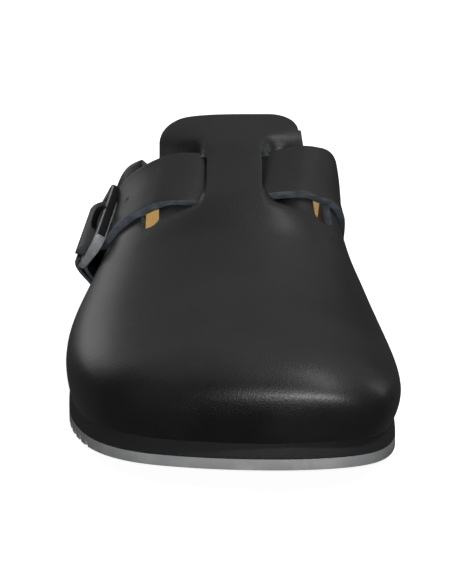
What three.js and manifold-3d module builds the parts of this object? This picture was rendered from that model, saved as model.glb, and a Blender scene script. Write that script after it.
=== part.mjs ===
// A chef clog for the right foot: closed toe, open heel and one buckled strap through the tongue.
// Millimetres. The toe points along -Y, the big-toe side is +X, and the sole stands on Z = 0.
import * as THREE from "three";
import { mergeVertices } from "three/addons/utils/BufferGeometryUtils.js";
import Module from "manifold-3d";

const wasm = await Module();
wasm.setup();

// Driving dimensions of the whole shoe
const soleLength = 282;
const ballWidth = 107;
const tongueHeight = 82;
const toeSpring = 10;
const springLength = 95;
const heelRimHeight = 30;
const gap = 0.3;

// Sole
const outsoleThickness = 3.6;
const sideFlare = 0.7;
const heelCupDepth = 12.5;
const archRise = 5;
const archCentre = 0.6;
const archSpread = 0.12;
const liningThickness = 2.4;
const liningEdgeUnderUpper = 4.4;
const liningEdgeAtHeel = 0.9;
const grooveWidth = 2.4;
const grooveDepth = 1.8;
const groovePitch = 7;
const grooveMargin = 9;
const forefootTreadStart = 40;
const forefootGrooves = 11;
const heelTreadStart = 206;
const heelGrooves = 8;

// Upper
const wall = 2.6;
const toeOverhang = 2;
const lastReach = 228;
const slitStart = 99;
const tongueLeft = -24.6;
const tongueRight = 22.8;
const tongueEnd = 151;
const tongueCorner = 10;
const outerSlitWidth = 5.8;
const innerSlitWidth = 5.6;
const outerSlitSplay = 0.8;
const innerSlitSplay = 5;
const bridgeCentre = 1;
const bridgeHalfWidth = 9.2;
const slotWidth = 4.6;
const slotSpare = 1.2;
const bridgeRise = 2.4;
const flankPress = 2;
const pressReach = 9;
const wingRearTop = 143;
const wingRearFoot = 207;
const wingTopHeight = 67;
const reliefFade = 8;

// Strap and buckle
const strapWidth = 26.5;
const strapThickness = 2.8;
const strapCentre = 119;
const strapSweep = 0.26;
const sweepStart = 28;
const strapTipRun = 7;
const strapHoleRadius = 1.2;
const holeBeforeBar = 11;
const holeFromTip = 5;
const nearBarDistance = 45;
const frameLength = 15;
const frameWidth = 38;
const frameCorner = 4;
const barHalfWidth = 1.2;
const nearBarHalfDepth = 1.9;
const farBarHalfDepth = 1;
const tabThickness = 1.2;
const tabWidth = 24;
const tabNotch = 6;
const tailLength = 9;
const tailDroop = 2.8;
const prongRadius = 1.05;
const knuckleWidth = 4;

// Sole outline: distance from the toe as a share of the length, and where the outer and inner
// edges lie to each side of the shoe's axis as shares of the ball width
const soleOutline = [
  { along: 0.0, outer: 0.131, inner: 0.131 },
  { along: 0.018, outer: -0.121, inner: 0.327 },
  { along: 0.043, outer: -0.252, inner: 0.407 },
  { along: 0.078, outer: -0.346, inner: 0.456 },
  { along: 0.124, outer: -0.416, inner: 0.484 },
  { along: 0.177, outer: -0.463, inner: 0.493 },
  { along: 0.23, outer: -0.491, inner: 0.492 },
  { along: 0.284, outer: -0.501, inner: 0.479 },
  { along: 0.337, outer: -0.501, inner: 0.44 },
  { along: 0.408, outer: -0.468, inner: 0.377 },
  { along: 0.479, outer: -0.437, inner: 0.33 },
  { along: 0.55, outer: -0.412, inner: 0.305 },
  { along: 0.62, outer: -0.395, inner: 0.299 },
  { along: 0.69, outer: -0.38, inner: 0.308 },
  { along: 0.762, outer: -0.37, inner: 0.326 },
  { along: 0.833, outer: -0.364, inner: 0.344 },
  { along: 0.894, outer: -0.341, inner: 0.327 },
  { along: 0.94, outer: -0.29, inner: 0.28 },
  { along: 0.975, outer: -0.196, inner: 0.196 },
  { along: 1.0, outer: 0.0, inner: 0.0 },
];

// Side of the sole: its height above the tread as a share of the heel rim, and the depth of the
// footbed below that rim as a share of the heel cup
const soleSide = [
  { along: 0.0, rim: 0.307, cup: 0.0 },
  { along: 0.16, rim: 0.35, cup: 0.0 },
  { along: 0.284, rim: 0.4, cup: 0.06 },
  { along: 0.426, rim: 0.507, cup: 0.26 },
  { along: 0.532, rim: 0.61, cup: 0.48 },
  { along: 0.603, rim: 0.7, cup: 0.68 },
  { along: 0.709, rim: 0.827, cup: 0.88 },
  { along: 0.798, rim: 0.91, cup: 1.0 },
  { along: 0.88, rim: 0.965, cup: 0.9 },
  { along: 0.95, rim: 0.99, cup: 0.52 },
  { along: 1.0, rim: 1.0, cup: 0.0 },
];

// Sections of the last in plan, from the toe to behind the wings: half widths and the place of the
// crest as shares of the ball width
const lastPlan = [
  { along: 0.0, outer: 0.131, inner: 0.131, crest: 0.131 },
  { along: 0.011, outer: -0.131, inner: 0.341, crest: 0.112 },
  { along: 0.035, outer: -0.257, inner: 0.43, crest: 0.093 },
  { along: 0.071, outer: -0.355, inner: 0.478, crest: 0.075 },
  { along: 0.113, outer: -0.423, inner: 0.499, crest: 0.056 },
  { along: 0.16, outer: -0.468, inner: 0.502, crest: 0.047 },
  { along: 0.213, outer: -0.497, inner: 0.493, crest: 0.042 },
  { along: 0.266, outer: -0.505, inner: 0.473, crest: 0.047 },
  { along: 0.319, outer: -0.5, inner: 0.444, crest: 0.06 },
  { along: 0.372, outer: -0.465, inner: 0.388, crest: 0.09 },
  { along: 0.426, outer: -0.433, inner: 0.335, crest: 0.13 },
  { along: 0.479, outer: -0.414, inner: 0.323, crest: 0.15 },
  { along: 0.532, outer: -0.403, inner: 0.311, crest: 0.14 },
  { along: 0.603, outer: -0.392, inner: 0.309, crest: 0.11 },
  { along: 0.691, outer: -0.382, inner: 0.313, crest: 0.07 },
  { along: 0.82, outer: -0.372, inner: 0.334, crest: 0.037 },
];

// Heights of the same sections as shares of the tongue's height: the crest, the widest point, and
// how far the last goes on below it
const lastHeights = [
  { along: 0.0, top: 0.335, waist: 0.335, under: 0.0 },
  { along: 0.011, top: 0.433, waist: 0.329, under: 0.146 },
  { along: 0.035, top: 0.49, waist: 0.323, under: 0.244 },
  { along: 0.071, top: 0.532, waist: 0.315, under: 0.305 },
  { along: 0.113, top: 0.561, waist: 0.305, under: 0.341 },
  { along: 0.16, top: 0.596, waist: 0.295, under: 0.366 },
  { along: 0.213, top: 0.634, waist: 0.283, under: 0.366 },
  { along: 0.266, top: 0.685, waist: 0.276, under: 0.366 },
  { along: 0.319, top: 0.744, waist: 0.273, under: 0.366 },
  { along: 0.372, top: 0.805, waist: 0.278, under: 0.366 },
  { along: 0.426, top: 0.862, waist: 0.288, under: 0.366 },
  { along: 0.479, top: 0.925, waist: 0.3, under: 0.366 },
  { along: 0.532, top: 1.0, waist: 0.317, under: 0.366 },
  { along: 0.603, top: 1.079, waist: 0.346, under: 0.366 },
  { along: 0.691, top: 1.159, waist: 0.378, under: 0.366 },
  { along: 0.82, top: 1.232, waist: 0.415, under: 0.366 },
];

// How full the curve of each section is between its crest and its widest points, and the share of
// its half width by which each flank leans in on the way up
const lastFlanks = [
  { along: 0.0, outer: 2.2, inner: 2.2, outerLean: 0.0, innerLean: 0.0 },
  { along: 0.071, outer: 2.2, inner: 2.2, outerLean: 0.0, innerLean: 0.02 },
  { along: 0.16, outer: 2.1, inner: 2.1, outerLean: 0.02, innerLean: 0.03 },
  { along: 0.266, outer: 2.1, inner: 2.15, outerLean: 0.04, innerLean: 0.04 },
  { along: 0.319, outer: 2.25, inner: 2.4, outerLean: 0.08, innerLean: 0.06 },
  { along: 0.372, outer: 2.6, inner: 3.2, outerLean: 0.08, innerLean: 0.04 },
  { along: 0.426, outer: 3.1, inner: 5.0, outerLean: 0.1, innerLean: 0.0 },
  { along: 0.479, outer: 3.6, inner: 6.6, outerLean: 0.11, innerLean: -0.01 },
  { along: 0.532, outer: 4.4, inner: 6.0, outerLean: 0.08, innerLean: -0.02 },
  { along: 0.603, outer: 3.6, inner: 4.2, outerLean: 0.1, innerLean: 0.0 },
  { along: 0.691, outer: 2.6, inner: 3.0, outerLean: 0.12, innerLean: 0.08 },
  { along: 0.82, outer: 2.2, inner: 2.4, outerLean: 0.05, innerLean: 0.04 },
];

// Height of the strap's underside over the last, by distance along the strap from the bridge
const bridgeEdge = bridgeHalfWidth;
const slotEdge = bridgeHalfWidth + slotWidth;
const underBridge = bridgeRise - wall - 2 * gap - strapThickness;
const overFlank = gap - flankPress + gap;
const pressEnd = slotEdge + pressReach;
const frameMiddle = nearBarDistance + frameLength / 2 - barHalfWidth;
const farBar = nearBarDistance + frameLength - 2 * barHalfWidth;
const loopInner = Math.hypot(barHalfWidth, farBarHalfDepth / 2) + gap;
const loopOuter = loopInner + tabThickness;
const farBarLift = gap + loopOuter;
const nearBarLift = gap + strapThickness + gap + nearBarHalfDepth;
const overFarBar = farBarLift + loopOuter + gap;
const strapEnd = farBar + tailLength;

// Solids and shapes

// One value of a table at a place along it, by a smooth curve through the rows. The place is
// measured on a scale that opens up the round ends.
function tableValue(rows, column, place, scale) {
  const x = scale(place);
  const last = rows.length - 1;
  let i = 0;
  while (i < last - 1 && x > scale(rows[i + 1].along)) i++;
  const at = (k) => scale(rows[k].along);
  const slope = (a, b) => (rows[b][column] - rows[a][column]) / (at(b) - at(a));
  const width = at(i + 1) - at(i);
  const middle = slope(i, i + 1);
  const before = i > 0 ? (slope(i - 1, i) + middle) / 2 : middle;
  const after = i + 1 < last ? (slope(i + 1, i + 2) + middle) / 2 : middle;
  const t = THREE.MathUtils.clamp((x - at(i)) / width, 0, 1);
  const rise = t * t * (3 - 2 * t);
  return (
    rows[i][column] * (1 - rise) +
    rows[i + 1][column] * rise +
    width * t * (1 - t) * ((1 - t) * before - t * after)
  );
}

const roundEnds = (along) => Math.acos(1 - 2 * THREE.MathUtils.clamp(along, 0, 1));
const roundToe = (along) => Math.sqrt(Math.max(along, 0));

// A closed solid through rings of points, capped at both ends or closed on itself
function loft(rings, closed = false) {
  const around = rings[0].length;
  const points = rings.flat();
  const faces = [];
  const bands = closed ? rings.length : rings.length - 1;
  for (let i = 0; i < bands; i++) {
    const next = (i + 1) % rings.length;
    for (let j = 0; j < around; j++) {
      const a = i * around + j;
      const b = i * around + ((j + 1) % around);
      const c = next * around + ((j + 1) % around);
      const d = next * around + j;
      faces.push(a, b, c, a, c, d);
    }
  }
  if (!closed) {
    for (const [ring, turn] of [[0, -1], [rings.length - 1, 1]]) {
      const middle = new THREE.Vector3();
      rings[ring].forEach((p) => middle.addScaledVector(p, 1 / around));
      points.push(middle);
      for (let j = 0; j < around; j++) {
        const a = ring * around + j;
        const b = ring * around + ((j + 1) % around);
        faces.push(...(turn > 0 ? [a, b, points.length - 1] : [b, a, points.length - 1]));
      }
    }
  }
  const geometry = new THREE.BufferGeometry().setFromPoints(points);
  geometry.setIndex(faces);
  const solid = solidOf(geometry);
  if (solid.volume() > 0) return solid;
  for (let i = 0; i < faces.length; i += 3) {
    [faces[i + 1], faces[i + 2]] = [faces[i + 2], faces[i + 1]];
  }
  geometry.setIndex(faces);
  return solidOf(geometry);
}

function solidOf(geometry) {
  const bare = geometry.clone();
  bare.deleteAttribute("normal");
  bare.deleteAttribute("uv");
  const merged = mergeVertices(bare, 1e-4);
  return new wasm.Manifold(
    new wasm.Mesh({
      numProp: 3,
      vertProperties: new Float32Array(merged.attributes.position.array),
      triVerts: new Uint32Array(merged.index.array),
    }),
  );
}

function geometryOf(solid) {
  const mesh = solid.getMesh();
  const geometry = new THREE.BufferGeometry();
  geometry.setAttribute("position", new THREE.BufferAttribute(mesh.vertProperties, 3));
  geometry.setIndex(new THREE.BufferAttribute(mesh.triVerts, 1));
  geometry.computeVertexNormals();
  return geometry;
}

// A plan shape drawn with X and distance from the toe, cut straight down between two heights
function planCutter(shape, low, high) {
  const options = { depth: high - low, bevelEnabled: false, curveSegments: 6 };
  const geometry = new THREE.ExtrudeGeometry(shape, options);
  return solidOf(geometry.translate(0, -soleLength / 2, low));
}

// A side shape drawn with distance from the toe and height, cut across the whole width
function sideCutter(shape) {
  const options = { depth: 2 * ballWidth, bevelEnabled: false, curveSegments: 8 };
  const geometry = new THREE.ExtrudeGeometry(shape, options);
  geometry.translate(-soleLength / 2, 0, -ballWidth);
  geometry.applyMatrix4(
    new THREE.Matrix4().makeBasis(
      new THREE.Vector3(0, 1, 0),
      new THREE.Vector3(0, 0, 1),
      new THREE.Vector3(1, 0, 0),
    ),
  );
  return solidOf(geometry);
}

// Sole

const springHeight = (fromToe) =>
  toeSpring * Math.max(0, 1 - fromToe / springLength) ** 2;

const rimHeight = (fromToe) =>
  springHeight(fromToe) +
  heelRimHeight * tableValue(soleSide, "rim", fromToe / soleLength, roundEnds);

// A point of the sole's outline, turn 0 at the toe and pi at the heel, moved in from the edge
function soleEdge(turn, side, inset) {
  const at = (angle) => {
    const along = (1 - Math.cos(angle)) / 2;
    return new THREE.Vector2(
      ballWidth * tableValue(soleOutline, side, along, roundEnds),
      soleLength * along,
    );
  };
  const step = 0.01;
  const run = at(Math.min(turn + step, Math.PI)).sub(at(Math.max(turn - step, 0)));
  const sign = side === "inner" ? -1 : 1;
  const inward = new THREE.Vector2(run.y, -run.x).normalize().multiplyScalar(sign);
  return at(turn).addScaledVector(inward, inset);
}

// The footbed's shaped surface: a cup below the rim, with the arch raised on the inner side
function footbedSurface(x, fromToe) {
  const along = fromToe / soleLength;
  const outer = ballWidth * tableValue(soleOutline, "outer", along, roundEnds);
  const inner = ballWidth * tableValue(soleOutline, "inner", along, roundEnds);
  const half = Math.max((inner - outer) / 2, 1);
  const across = THREE.MathUtils.clamp((x - (inner + outer) / 2) / half, -1, 1);
  const depth = heelCupDepth * Math.max(0, tableValue(soleSide, "cup", along, roundEnds));
  const archPlace = (along - archCentre) / archSpread;
  const archShape = Math.exp(-archPlace * archPlace) * across ** 2 * (1 - across ** 4);
  const arch = across > 0 ? archRise * archShape : 0;
  return rimHeight(fromToe) - depth * (1 - Math.abs(across) ** 2.6) + arch;
}

// A layer of the sole between two surfaces, with its own edge at the bottom and at the top
function soleLayer(bottom, top, bottomInset, topInset) {
  const stations = 34;
  const columns = 6;
  const endTurn = 0.05;
  const rings = [];
  for (let i = 0; i <= stations; i++) {
    const turn = THREE.MathUtils.lerp(endTurn, Math.PI - endTurn, i / stations);
    const row = (surface, inset) => {
      const fromToe = (soleLength * (1 - Math.cos(turn))) / 2;
      const outer = soleEdge(turn, "outer", inset(fromToe));
      const inner = soleEdge(turn, "inner", inset(fromToe));
      const points = [];
      for (let j = 0; j <= columns; j++) {
        const share = (1 - Math.cos((Math.PI * j) / columns)) / 2;
        const place = outer.clone().lerp(inner, share);
        const height = surface(place.x, place.y);
        points.push(new THREE.Vector3(place.x, place.y - soleLength / 2, height));
      }
      return points;
    };
    rings.push([...row(bottom, bottomInset), ...row(top, topInset).reverse()]);
  }
  return loft(rings);
}

function makeOutsole() {
  const tread = (x, fromToe) => springHeight(fromToe);
  const top = (x, fromToe) => springHeight(fromToe) + outsoleThickness;
  let outsole = soleLayer(tread, top, () => 0, () => 0);
  const fields = [
    { start: forefootTreadStart, count: forefootGrooves },
    { start: heelTreadStart, count: heelGrooves },
  ];
  for (const field of fields) {
    for (let i = 0; i < field.count; i++) {
      const fromToe = field.start + i * groovePitch;
      const innerShare = tableValue(soleOutline, "inner", fromToe / soleLength, roundEnds);
      const grooveEnd = ballWidth * innerShare - grooveMargin;
      const reach = grooveEnd + ballWidth;
      const groove = new THREE.BoxGeometry(reach, grooveWidth, 2 * grooveDepth);
      groove.translate(grooveEnd - reach / 2, fromToe - soleLength / 2, springHeight(fromToe));
      outsole = outsole.subtract(solidOf(groove));
    }
  }
  return outsole;
}

// The body of the sole, raised by a clearance where it cuts what lies on it
function makeMidsole(clearance = 0) {
  const bottom = (x, fromToe) => springHeight(fromToe) + outsoleThickness + gap;
  const top = (x, fromToe) => footbedSurface(x, fromToe) + clearance;
  return soleLayer(bottom, top, () => -clearance, () => sideFlare - clearance);
}

// The lining stays inside the upper and comes out to the edge behind the wings
function makeFootbed() {
  const edge = (fromToe) =>
    THREE.MathUtils.lerp(
      liningEdgeUnderUpper,
      liningEdgeAtHeel,
      THREE.MathUtils.smoothstep(fromToe, wingRearFoot + 2, wingRearFoot + 22),
    );
  const bottom = (x, fromToe) => footbedSurface(x, fromToe) - liningThickness / 2;
  const top = (x, fromToe) => footbedSurface(x, fromToe) + gap + liningThickness;
  const topEdge = (fromToe) => edge(fromToe) + liningThickness / 3;
  const leather = lastSolid(gap).subtract(lastSolid(-wall - gap)).subtract(behindWings());
  return soleLayer(bottom, top, edge, topEdge).subtract(makeMidsole(gap)).subtract(leather);
}

// Last

// A point of the last's surface: distance from the toe, and a turn that is 0 at the widest point
// of the inner side, a quarter turn at the crest and half a turn on the outer side
function lastSurface(fromToe, turn) {
  const along = (fromToe + toeOverhang) / soleLength;
  const value = (rows, column) => tableValue(rows, column, along, roundToe);
  const side = Math.cos(turn) > 0 ? "inner" : "outer";
  const crest = ballWidth * value(lastPlan, "crest");
  const edge = ballWidth * value(lastPlan, side);
  const waist = tongueHeight * value(lastHeights, "waist");
  const above = Math.sin(turn) >= 0;
  const full = above ? value(lastFlanks, side) : 2;
  const lean = above ? value(lastFlanks, `${side}Lean`) : 0;
  const deeperOutside = 1.25 - 0.25 * Math.cos(turn);
  const under = tongueHeight * value(lastHeights, "under") * deeperOutside;
  const rise = above ? tongueHeight * value(lastHeights, "top") - waist : under;
  const round = Math.abs(Math.cos(turn)) ** full + Math.abs(Math.sin(turn)) ** full;
  const reach = round ** (-1 / full);
  return new THREE.Vector3(
    crest + Math.abs(edge - crest) * Math.cos(turn) * reach * (1 - lean * Math.sin(turn) * reach),
    fromToe - soleLength / 2,
    waist + rise * Math.sin(turn) * reach,
  );
}

function lastNormal(fromToe, turn) {
  const step = 0.05;
  const ahead = Math.max(fromToe - step, -toeOverhang + step / 2);
  const alongRun = lastSurface(fromToe + step, turn).sub(lastSurface(ahead, turn));
  const aroundRun = lastSurface(fromToe, turn + step / 5).sub(lastSurface(fromToe, turn - step / 5));
  return aroundRun.cross(alongRun).normalize().negate();
}

// Directions on the instep: up along the ridge, at the middle of the strap
const strapOrigin = lastSurface(strapCentre, Math.PI / 2);
const ridgeStep = 12;
const ridge = lastSurface(strapCentre + ridgeStep, Math.PI / 2)
  .sub(lastSurface(strapCentre - ridgeStep, Math.PI / 2))
  .setX(0)
  .normalize();

const ridgeDistance = (point) => point.clone().sub(strapOrigin).dot(ridge);

// The bridge stands up over the strap, and the tongue beside it is pressed down by the strap
function relief(point) {
  const beside = Math.abs(point.x - bridgeCentre);
  const beyond = Math.abs(ridgeDistance(point)) - strapWidth / 2;
  const { smoothstep } = THREE.MathUtils;
  const offBridge = smoothstep(beside, bridgeEdge, slotEdge);
  const rise = bridgeRise * (1 - offBridge);
  const press = flankPress * offBridge * (1 - smoothstep(beside, slotEdge, pressEnd));
  return (rise - press) * (1 - smoothstep(beyond, 0, reliefFade));
}

function upperPoint(fromToe, turn, outward) {
  const point = lastSurface(fromToe, turn);
  return point.addScaledVector(lastNormal(fromToe, turn), outward + relief(point));
}

// Rings of the last are close together at the toe and across the instep
function lastStations() {
  const toeRun = slitStart - 5;
  const instepEnd = tongueEnd + 6;
  const toeSteps = 13;
  const toe = Array.from(
    { length: toeSteps },
    (_, i) => (toeRun + toeOverhang) * ((i + 1) / toeSteps) ** 2 - toeOverhang,
  );
  return [
    ...toe,
    ...placesBetween(toeRun, instepEnd, 4.4).slice(1),
    ...placesBetween(instepEnd, lastReach, 12).slice(1),
  ];
}

function lastTurns() {
  const turns = [];
  const spans = [
    { from: 0, to: 0.85, steps: 5 },
    { from: 0.85, to: 2.3, steps: 16 },
    { from: 2.3, to: Math.PI, steps: 5 },
    { from: Math.PI, to: 3.7, steps: 2 },
    { from: 3.7, to: 5.7, steps: 2 },
    { from: 5.7, to: 2 * Math.PI, steps: 2 },
  ];
  for (const span of spans) {
    for (let i = 0; i < span.steps; i++) {
      turns.push(THREE.MathUtils.lerp(span.from, span.to, i / span.steps));
    }
  }
  return turns;
}

function lastSolid(outward) {
  const turns = lastTurns();
  return loft(lastStations().map((s) => turns.map((turn) => upperPoint(s, turn, outward))));
}

// Everything under the top edge of the sole
function underRim() {
  const shape = new THREE.Shape();
  shape.moveTo(-20, -ballWidth);
  for (let s = -20; s <= soleLength; s += 6) shape.lineTo(s, rimHeight(Math.max(s, 0)) + gap);
  shape.lineTo(soleLength, -ballWidth);
  return sideCutter(shape);
}

// The slit beside the tongue on one side, from its round end to behind the shoe. Its front end
// stands further out than its rear end by a splay.
function slit(side, clearance) {
  const edge = side < 0 ? tongueLeft : tongueRight;
  const width = side < 0 ? outerSlitWidth : innerSlitWidth;
  const splay = side < 0 ? -outerSlitSplay : innerSlitSplay;
  const shift = (fromToe) => (splay * (tongueEnd - fromToe)) / (tongueEnd - slitStart);
  const radius = width / 2 - clearance;
  const middle = edge + (side * width) / 2;
  const front = slitStart + width / 2;
  const shape = new THREE.Shape();
  shape.moveTo(middle + radius + shift(soleLength), soleLength);
  shape.lineTo(middle - radius + shift(soleLength), soleLength);
  shape.lineTo(middle - radius + shift(front), front);
  shape.absarc(middle + shift(front), front, radius, Math.PI, 2 * Math.PI);
  shape.closePath();
  return planCutter(shape, heelRimHeight, 2 * tongueHeight);
}

// What lies behind the tongue's round end
function behindTongue() {
  const start = tongueEnd - tongueCorner;
  const left = tongueLeft - outerSlitWidth / 2;
  const right = tongueRight + innerSlitWidth / 2;
  const shape = new THREE.Shape();
  shape.moveTo(left, soleLength);
  shape.lineTo(left, start);
  shape.lineTo(tongueLeft, start);
  shape.absarc(tongueLeft + tongueCorner, start, tongueCorner, Math.PI, Math.PI / 2, true);
  shape.absarc(tongueRight - tongueCorner, start, tongueCorner, Math.PI / 2, 0, true);
  shape.lineTo(right, start);
  shape.lineTo(right, soleLength);
  return planCutter(shape, heelRimHeight, 2 * tongueHeight);
}

// What lies behind the rear edge of the wings, seen from the side
function behindWings() {
  const run = wingRearFoot - wingRearTop;
  const drop = wingTopHeight - heelRimHeight;
  const shape = new THREE.Shape();
  shape.moveTo(wingRearTop - 9, 2 * tongueHeight);
  shape.lineTo(wingRearTop - 7, wingTopHeight + 7);
  shape.splineThru([
    new THREE.Vector2(wingRearTop, wingTopHeight),
    new THREE.Vector2(wingRearTop + 0.1 * run, wingTopHeight - 0.3 * drop),
    new THREE.Vector2(wingRearTop + 0.42 * run, wingTopHeight - 0.68 * drop),
    new THREE.Vector2(wingRearTop + 0.8 * run, wingTopHeight - 0.98 * drop),
    new THREE.Vector2(wingRearFoot, wingTopHeight - 1.2 * drop),
  ]);
  shape.lineTo(wingRearFoot + 1, 0);
  shape.lineTo(soleLength, 0);
  shape.lineTo(soleLength, 2 * tongueHeight);
  return sideCutter(shape).subtract(tongueStrip());
}

// The strip between the middles of the two slits
function tongueStrip() {
  const left = tongueLeft - outerSlitWidth / 2;
  const right = tongueRight + innerSlitWidth / 2;
  const shape = new THREE.Shape();
  shape.moveTo(left, slitStart);
  shape.lineTo(right, slitStart);
  shape.lineTo(right, soleLength);
  shape.lineTo(left, soleLength);
  shape.closePath();
  return planCutter(shape, heelRimHeight, 2 * tongueHeight);
}

// A slot for the strap, beside the bridge on one side
function strapSlot(side, clearance) {
  const halfRun = (strapWidth / 2 + slotSpare - clearance) * ridge.y;
  const near = bridgeCentre + side * (bridgeEdge + clearance);
  const far = bridgeCentre + side * (slotEdge - clearance);
  const shape = new THREE.Shape();
  shape.moveTo(near, strapCentre - halfRun);
  shape.lineTo(far, strapCentre - halfRun);
  shape.lineTo(far, strapCentre + halfRun);
  shape.lineTo(near, strapCentre + halfRun);
  shape.closePath();
  return planCutter(shape, 1.5 * heelRimHeight, 2 * tongueHeight);
}

// The upper, made thicker by a clearance where it cuts the strap
function makeUpper(clearance = 0) {
  return lastSolid(clearance)
    .subtract(lastSolid(-wall - clearance))
    .subtract(underRim())
    .subtract(slit(-1, clearance))
    .subtract(slit(1, clearance))
    .subtract(behindTongue())
    .subtract(behindWings())
    .subtract(strapSlot(-1, clearance))
    .subtract(strapSlot(1, clearance));
}

// Strap space: distance round the foot from the bridge, distance up the ridge, height over the last

function fromToeOnStrap(turn, across) {
  let near = 40;
  let far = lastReach;
  for (let i = 0; i < 30; i++) {
    const middle = (near + far) / 2;
    if (ridgeDistance(lastSurface(middle, turn)) < across) near = middle;
    else far = middle;
  }
  return (near + far) / 2;
}

// Turns and distances along the strap's middle line, from the inner seam to the outer seam
const girthTable = (() => {
  const steps = 240;
  const rows = [];
  let distance = 0;
  let previous = null;
  let zero = 0;
  for (let i = 0; i <= steps; i++) {
    const turn = THREE.MathUtils.lerp(-0.9, Math.PI + 0.9, i / steps);
    const point = lastSurface(fromToeOnStrap(turn, 0), turn);
    if (previous) distance += point.distanceTo(previous);
    if (previous && previous.x > bridgeCentre && point.x <= bridgeCentre) zero = distance;
    rows.push({ turn, distance, point });
    previous = point;
  }
  return rows.map((row) => ({ ...row, distance: row.distance - zero }));
})();

function turnAt(distance) {
  let i = 1;
  while (i < girthTable.length - 1 && girthTable[i].distance < distance) i++;
  const before = girthTable[i - 1];
  const after = girthTable[i];
  const share = (distance - before.distance) / (after.distance - before.distance);
  return THREE.MathUtils.lerp(before.turn, after.turn, share);
}

// Where the strap's middle line meets the rim of the sole on one side
function distanceAtRim(side) {
  const rows = side > 0 ? girthTable : [...girthTable].reverse();
  const onSide = rows.filter((row) => row.distance * side > slotEdge);
  const rim = (row) => rimHeight(row.point.y + soleLength / 2) + 2 * gap;
  return onSide.find((row) => row.point.z < rim(row)).distance;
}

// On its way down the inner side the strap sweeps back
function onStrap(distance, across, lift) {
  const turn = turnAt(distance);
  const sweep = strapSweep * Math.max(0, -distance - sweepStart);
  const fromToe = fromToeOnStrap(turn, across + sweep);
  return lastSurface(fromToe, turn).addScaledVector(lastNormal(fromToe, turn), lift);
}

// A band of leather in strap space, with its underside's height given by distance
function band(places, width, thickness, underside) {
  const columns = 3;
  const rings = places.map((place) => {
    const half = width(place) / 2;
    const low = [];
    const high = [];
    for (let j = 0; j <= columns; j++) {
      const across = THREE.MathUtils.lerp(-half, half, j / columns);
      low.push(onStrap(place, across, underside(place)));
      high.push(onStrap(place, across, underside(place) + thickness));
    }
    return [...low, ...high.reverse()];
  });
  return loft(rings);
}

function placesBetween(from, to, step) {
  const count = Math.ceil((to - from) / step);
  return Array.from({ length: count + 1 }, (_, i) => THREE.MathUtils.lerp(from, to, i / count));
}

const innerRimDistance = distanceAtRim(-1);
const outerRimDistance = distanceAtRim(1);

const strapUnderside = [
  { along: innerRimDistance, lift: gap },
  { along: -pressEnd - 4, lift: gap },
  { along: -pressEnd, lift: gap },
  { along: -slotEdge, lift: overFlank },
  { along: -bridgeEdge, lift: underBridge },
  { along: -bridgeEdge + 4, lift: underBridge },
  { along: bridgeEdge - 4, lift: underBridge },
  { along: bridgeEdge, lift: underBridge },
  { along: slotEdge, lift: overFlank },
  { along: pressEnd, lift: gap },
  { along: pressEnd + 4, lift: gap },
  { along: nearBarDistance, lift: gap },
  { along: nearBarDistance + 6, lift: gap + 0.9 },
  { along: farBar - 4, lift: overFarBar - 0.9 },
  { along: farBar, lift: overFarBar },
  { along: farBar + tailLength / 2, lift: overFarBar - 0.3 * tailDroop },
  { along: strapEnd, lift: overFarBar - tailDroop },
];

const undersideAt = (place) => tableValue(strapUnderside, "lift", place, (distance) => distance);

// The strap narrows in a half round at its free end
function strapWidthAt(place) {
  const left = strapEnd - place;
  if (left > strapTipRun) return strapWidth;
  const share = 1 - left / strapTipRun;
  return strapWidth * THREE.MathUtils.lerp(0.32, 1, Math.sqrt(1 - share * share));
}

function strapHole(place) {
  const under = undersideAt(place) - strapThickness / 2;
  const path = [
    { place, across: 0, lift: under },
    { place, across: 0, lift: under + 2 * strapThickness },
  ];
  return rod(path, strapHoleRadius, 10);
}

function makeStrap() {
  const tipStart = strapEnd - strapTipRun;
  const places = [
    ...placesBetween(innerRimDistance, -pressEnd, 5),
    ...placesBetween(-pressEnd, pressEnd, 3).slice(1),
    ...placesBetween(pressEnd, nearBarDistance, 5).slice(1),
    ...placesBetween(nearBarDistance, tipStart, 2.6).slice(1),
    ...placesBetween(tipStart, strapEnd, 2).slice(1),
  ];
  const strap = band(places, strapWidthAt, strapThickness, undersideAt)
    .subtract(prongRod(gap))
    .subtract(strapHole(nearBarDistance - holeBeforeBar))
    .subtract(strapHole(strapEnd - holeFromTip));
  return strap.subtract(makeUpper(gap / 2)).subtract(underRim());
}

// A round rod through points of strap space
function rod(path, radius, sides) {
  const points = path.map((row) => onStrap(row.place, row.across, row.lift));
  const rings = points.map((point, i) => {
    const ahead = points[Math.min(i + 1, points.length - 1)];
    const run = ahead.clone().sub(points[Math.max(i - 1, 0)]).normalize();
    const first = new THREE.Vector3().crossVectors(run, ridge).normalize();
    if (Math.abs(run.dot(ridge)) > 0.9) first.crossVectors(run, new THREE.Vector3(0, 0, 1)).normalize();
    const second = new THREE.Vector3().crossVectors(run, first);
    return Array.from({ length: sides }, (_, j) => {
      const turn = (2 * Math.PI * j) / sides;
      return point
        .clone()
        .addScaledVector(first, radius * Math.cos(turn))
        .addScaledVector(second, radius * Math.sin(turn));
    });
  });
  return loft(rings);
}

// Height of the middle of the buckle's bars over the last
const frameLift = (place) =>
  THREE.MathUtils.mapLinear(place, nearBarDistance, farBar, nearBarLift, farBarLift);

const frameHalfDepth = (place) =>
  THREE.MathUtils.mapLinear(place, nearBarDistance, farBar, nearBarHalfDepth, farBarHalfDepth);

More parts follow.
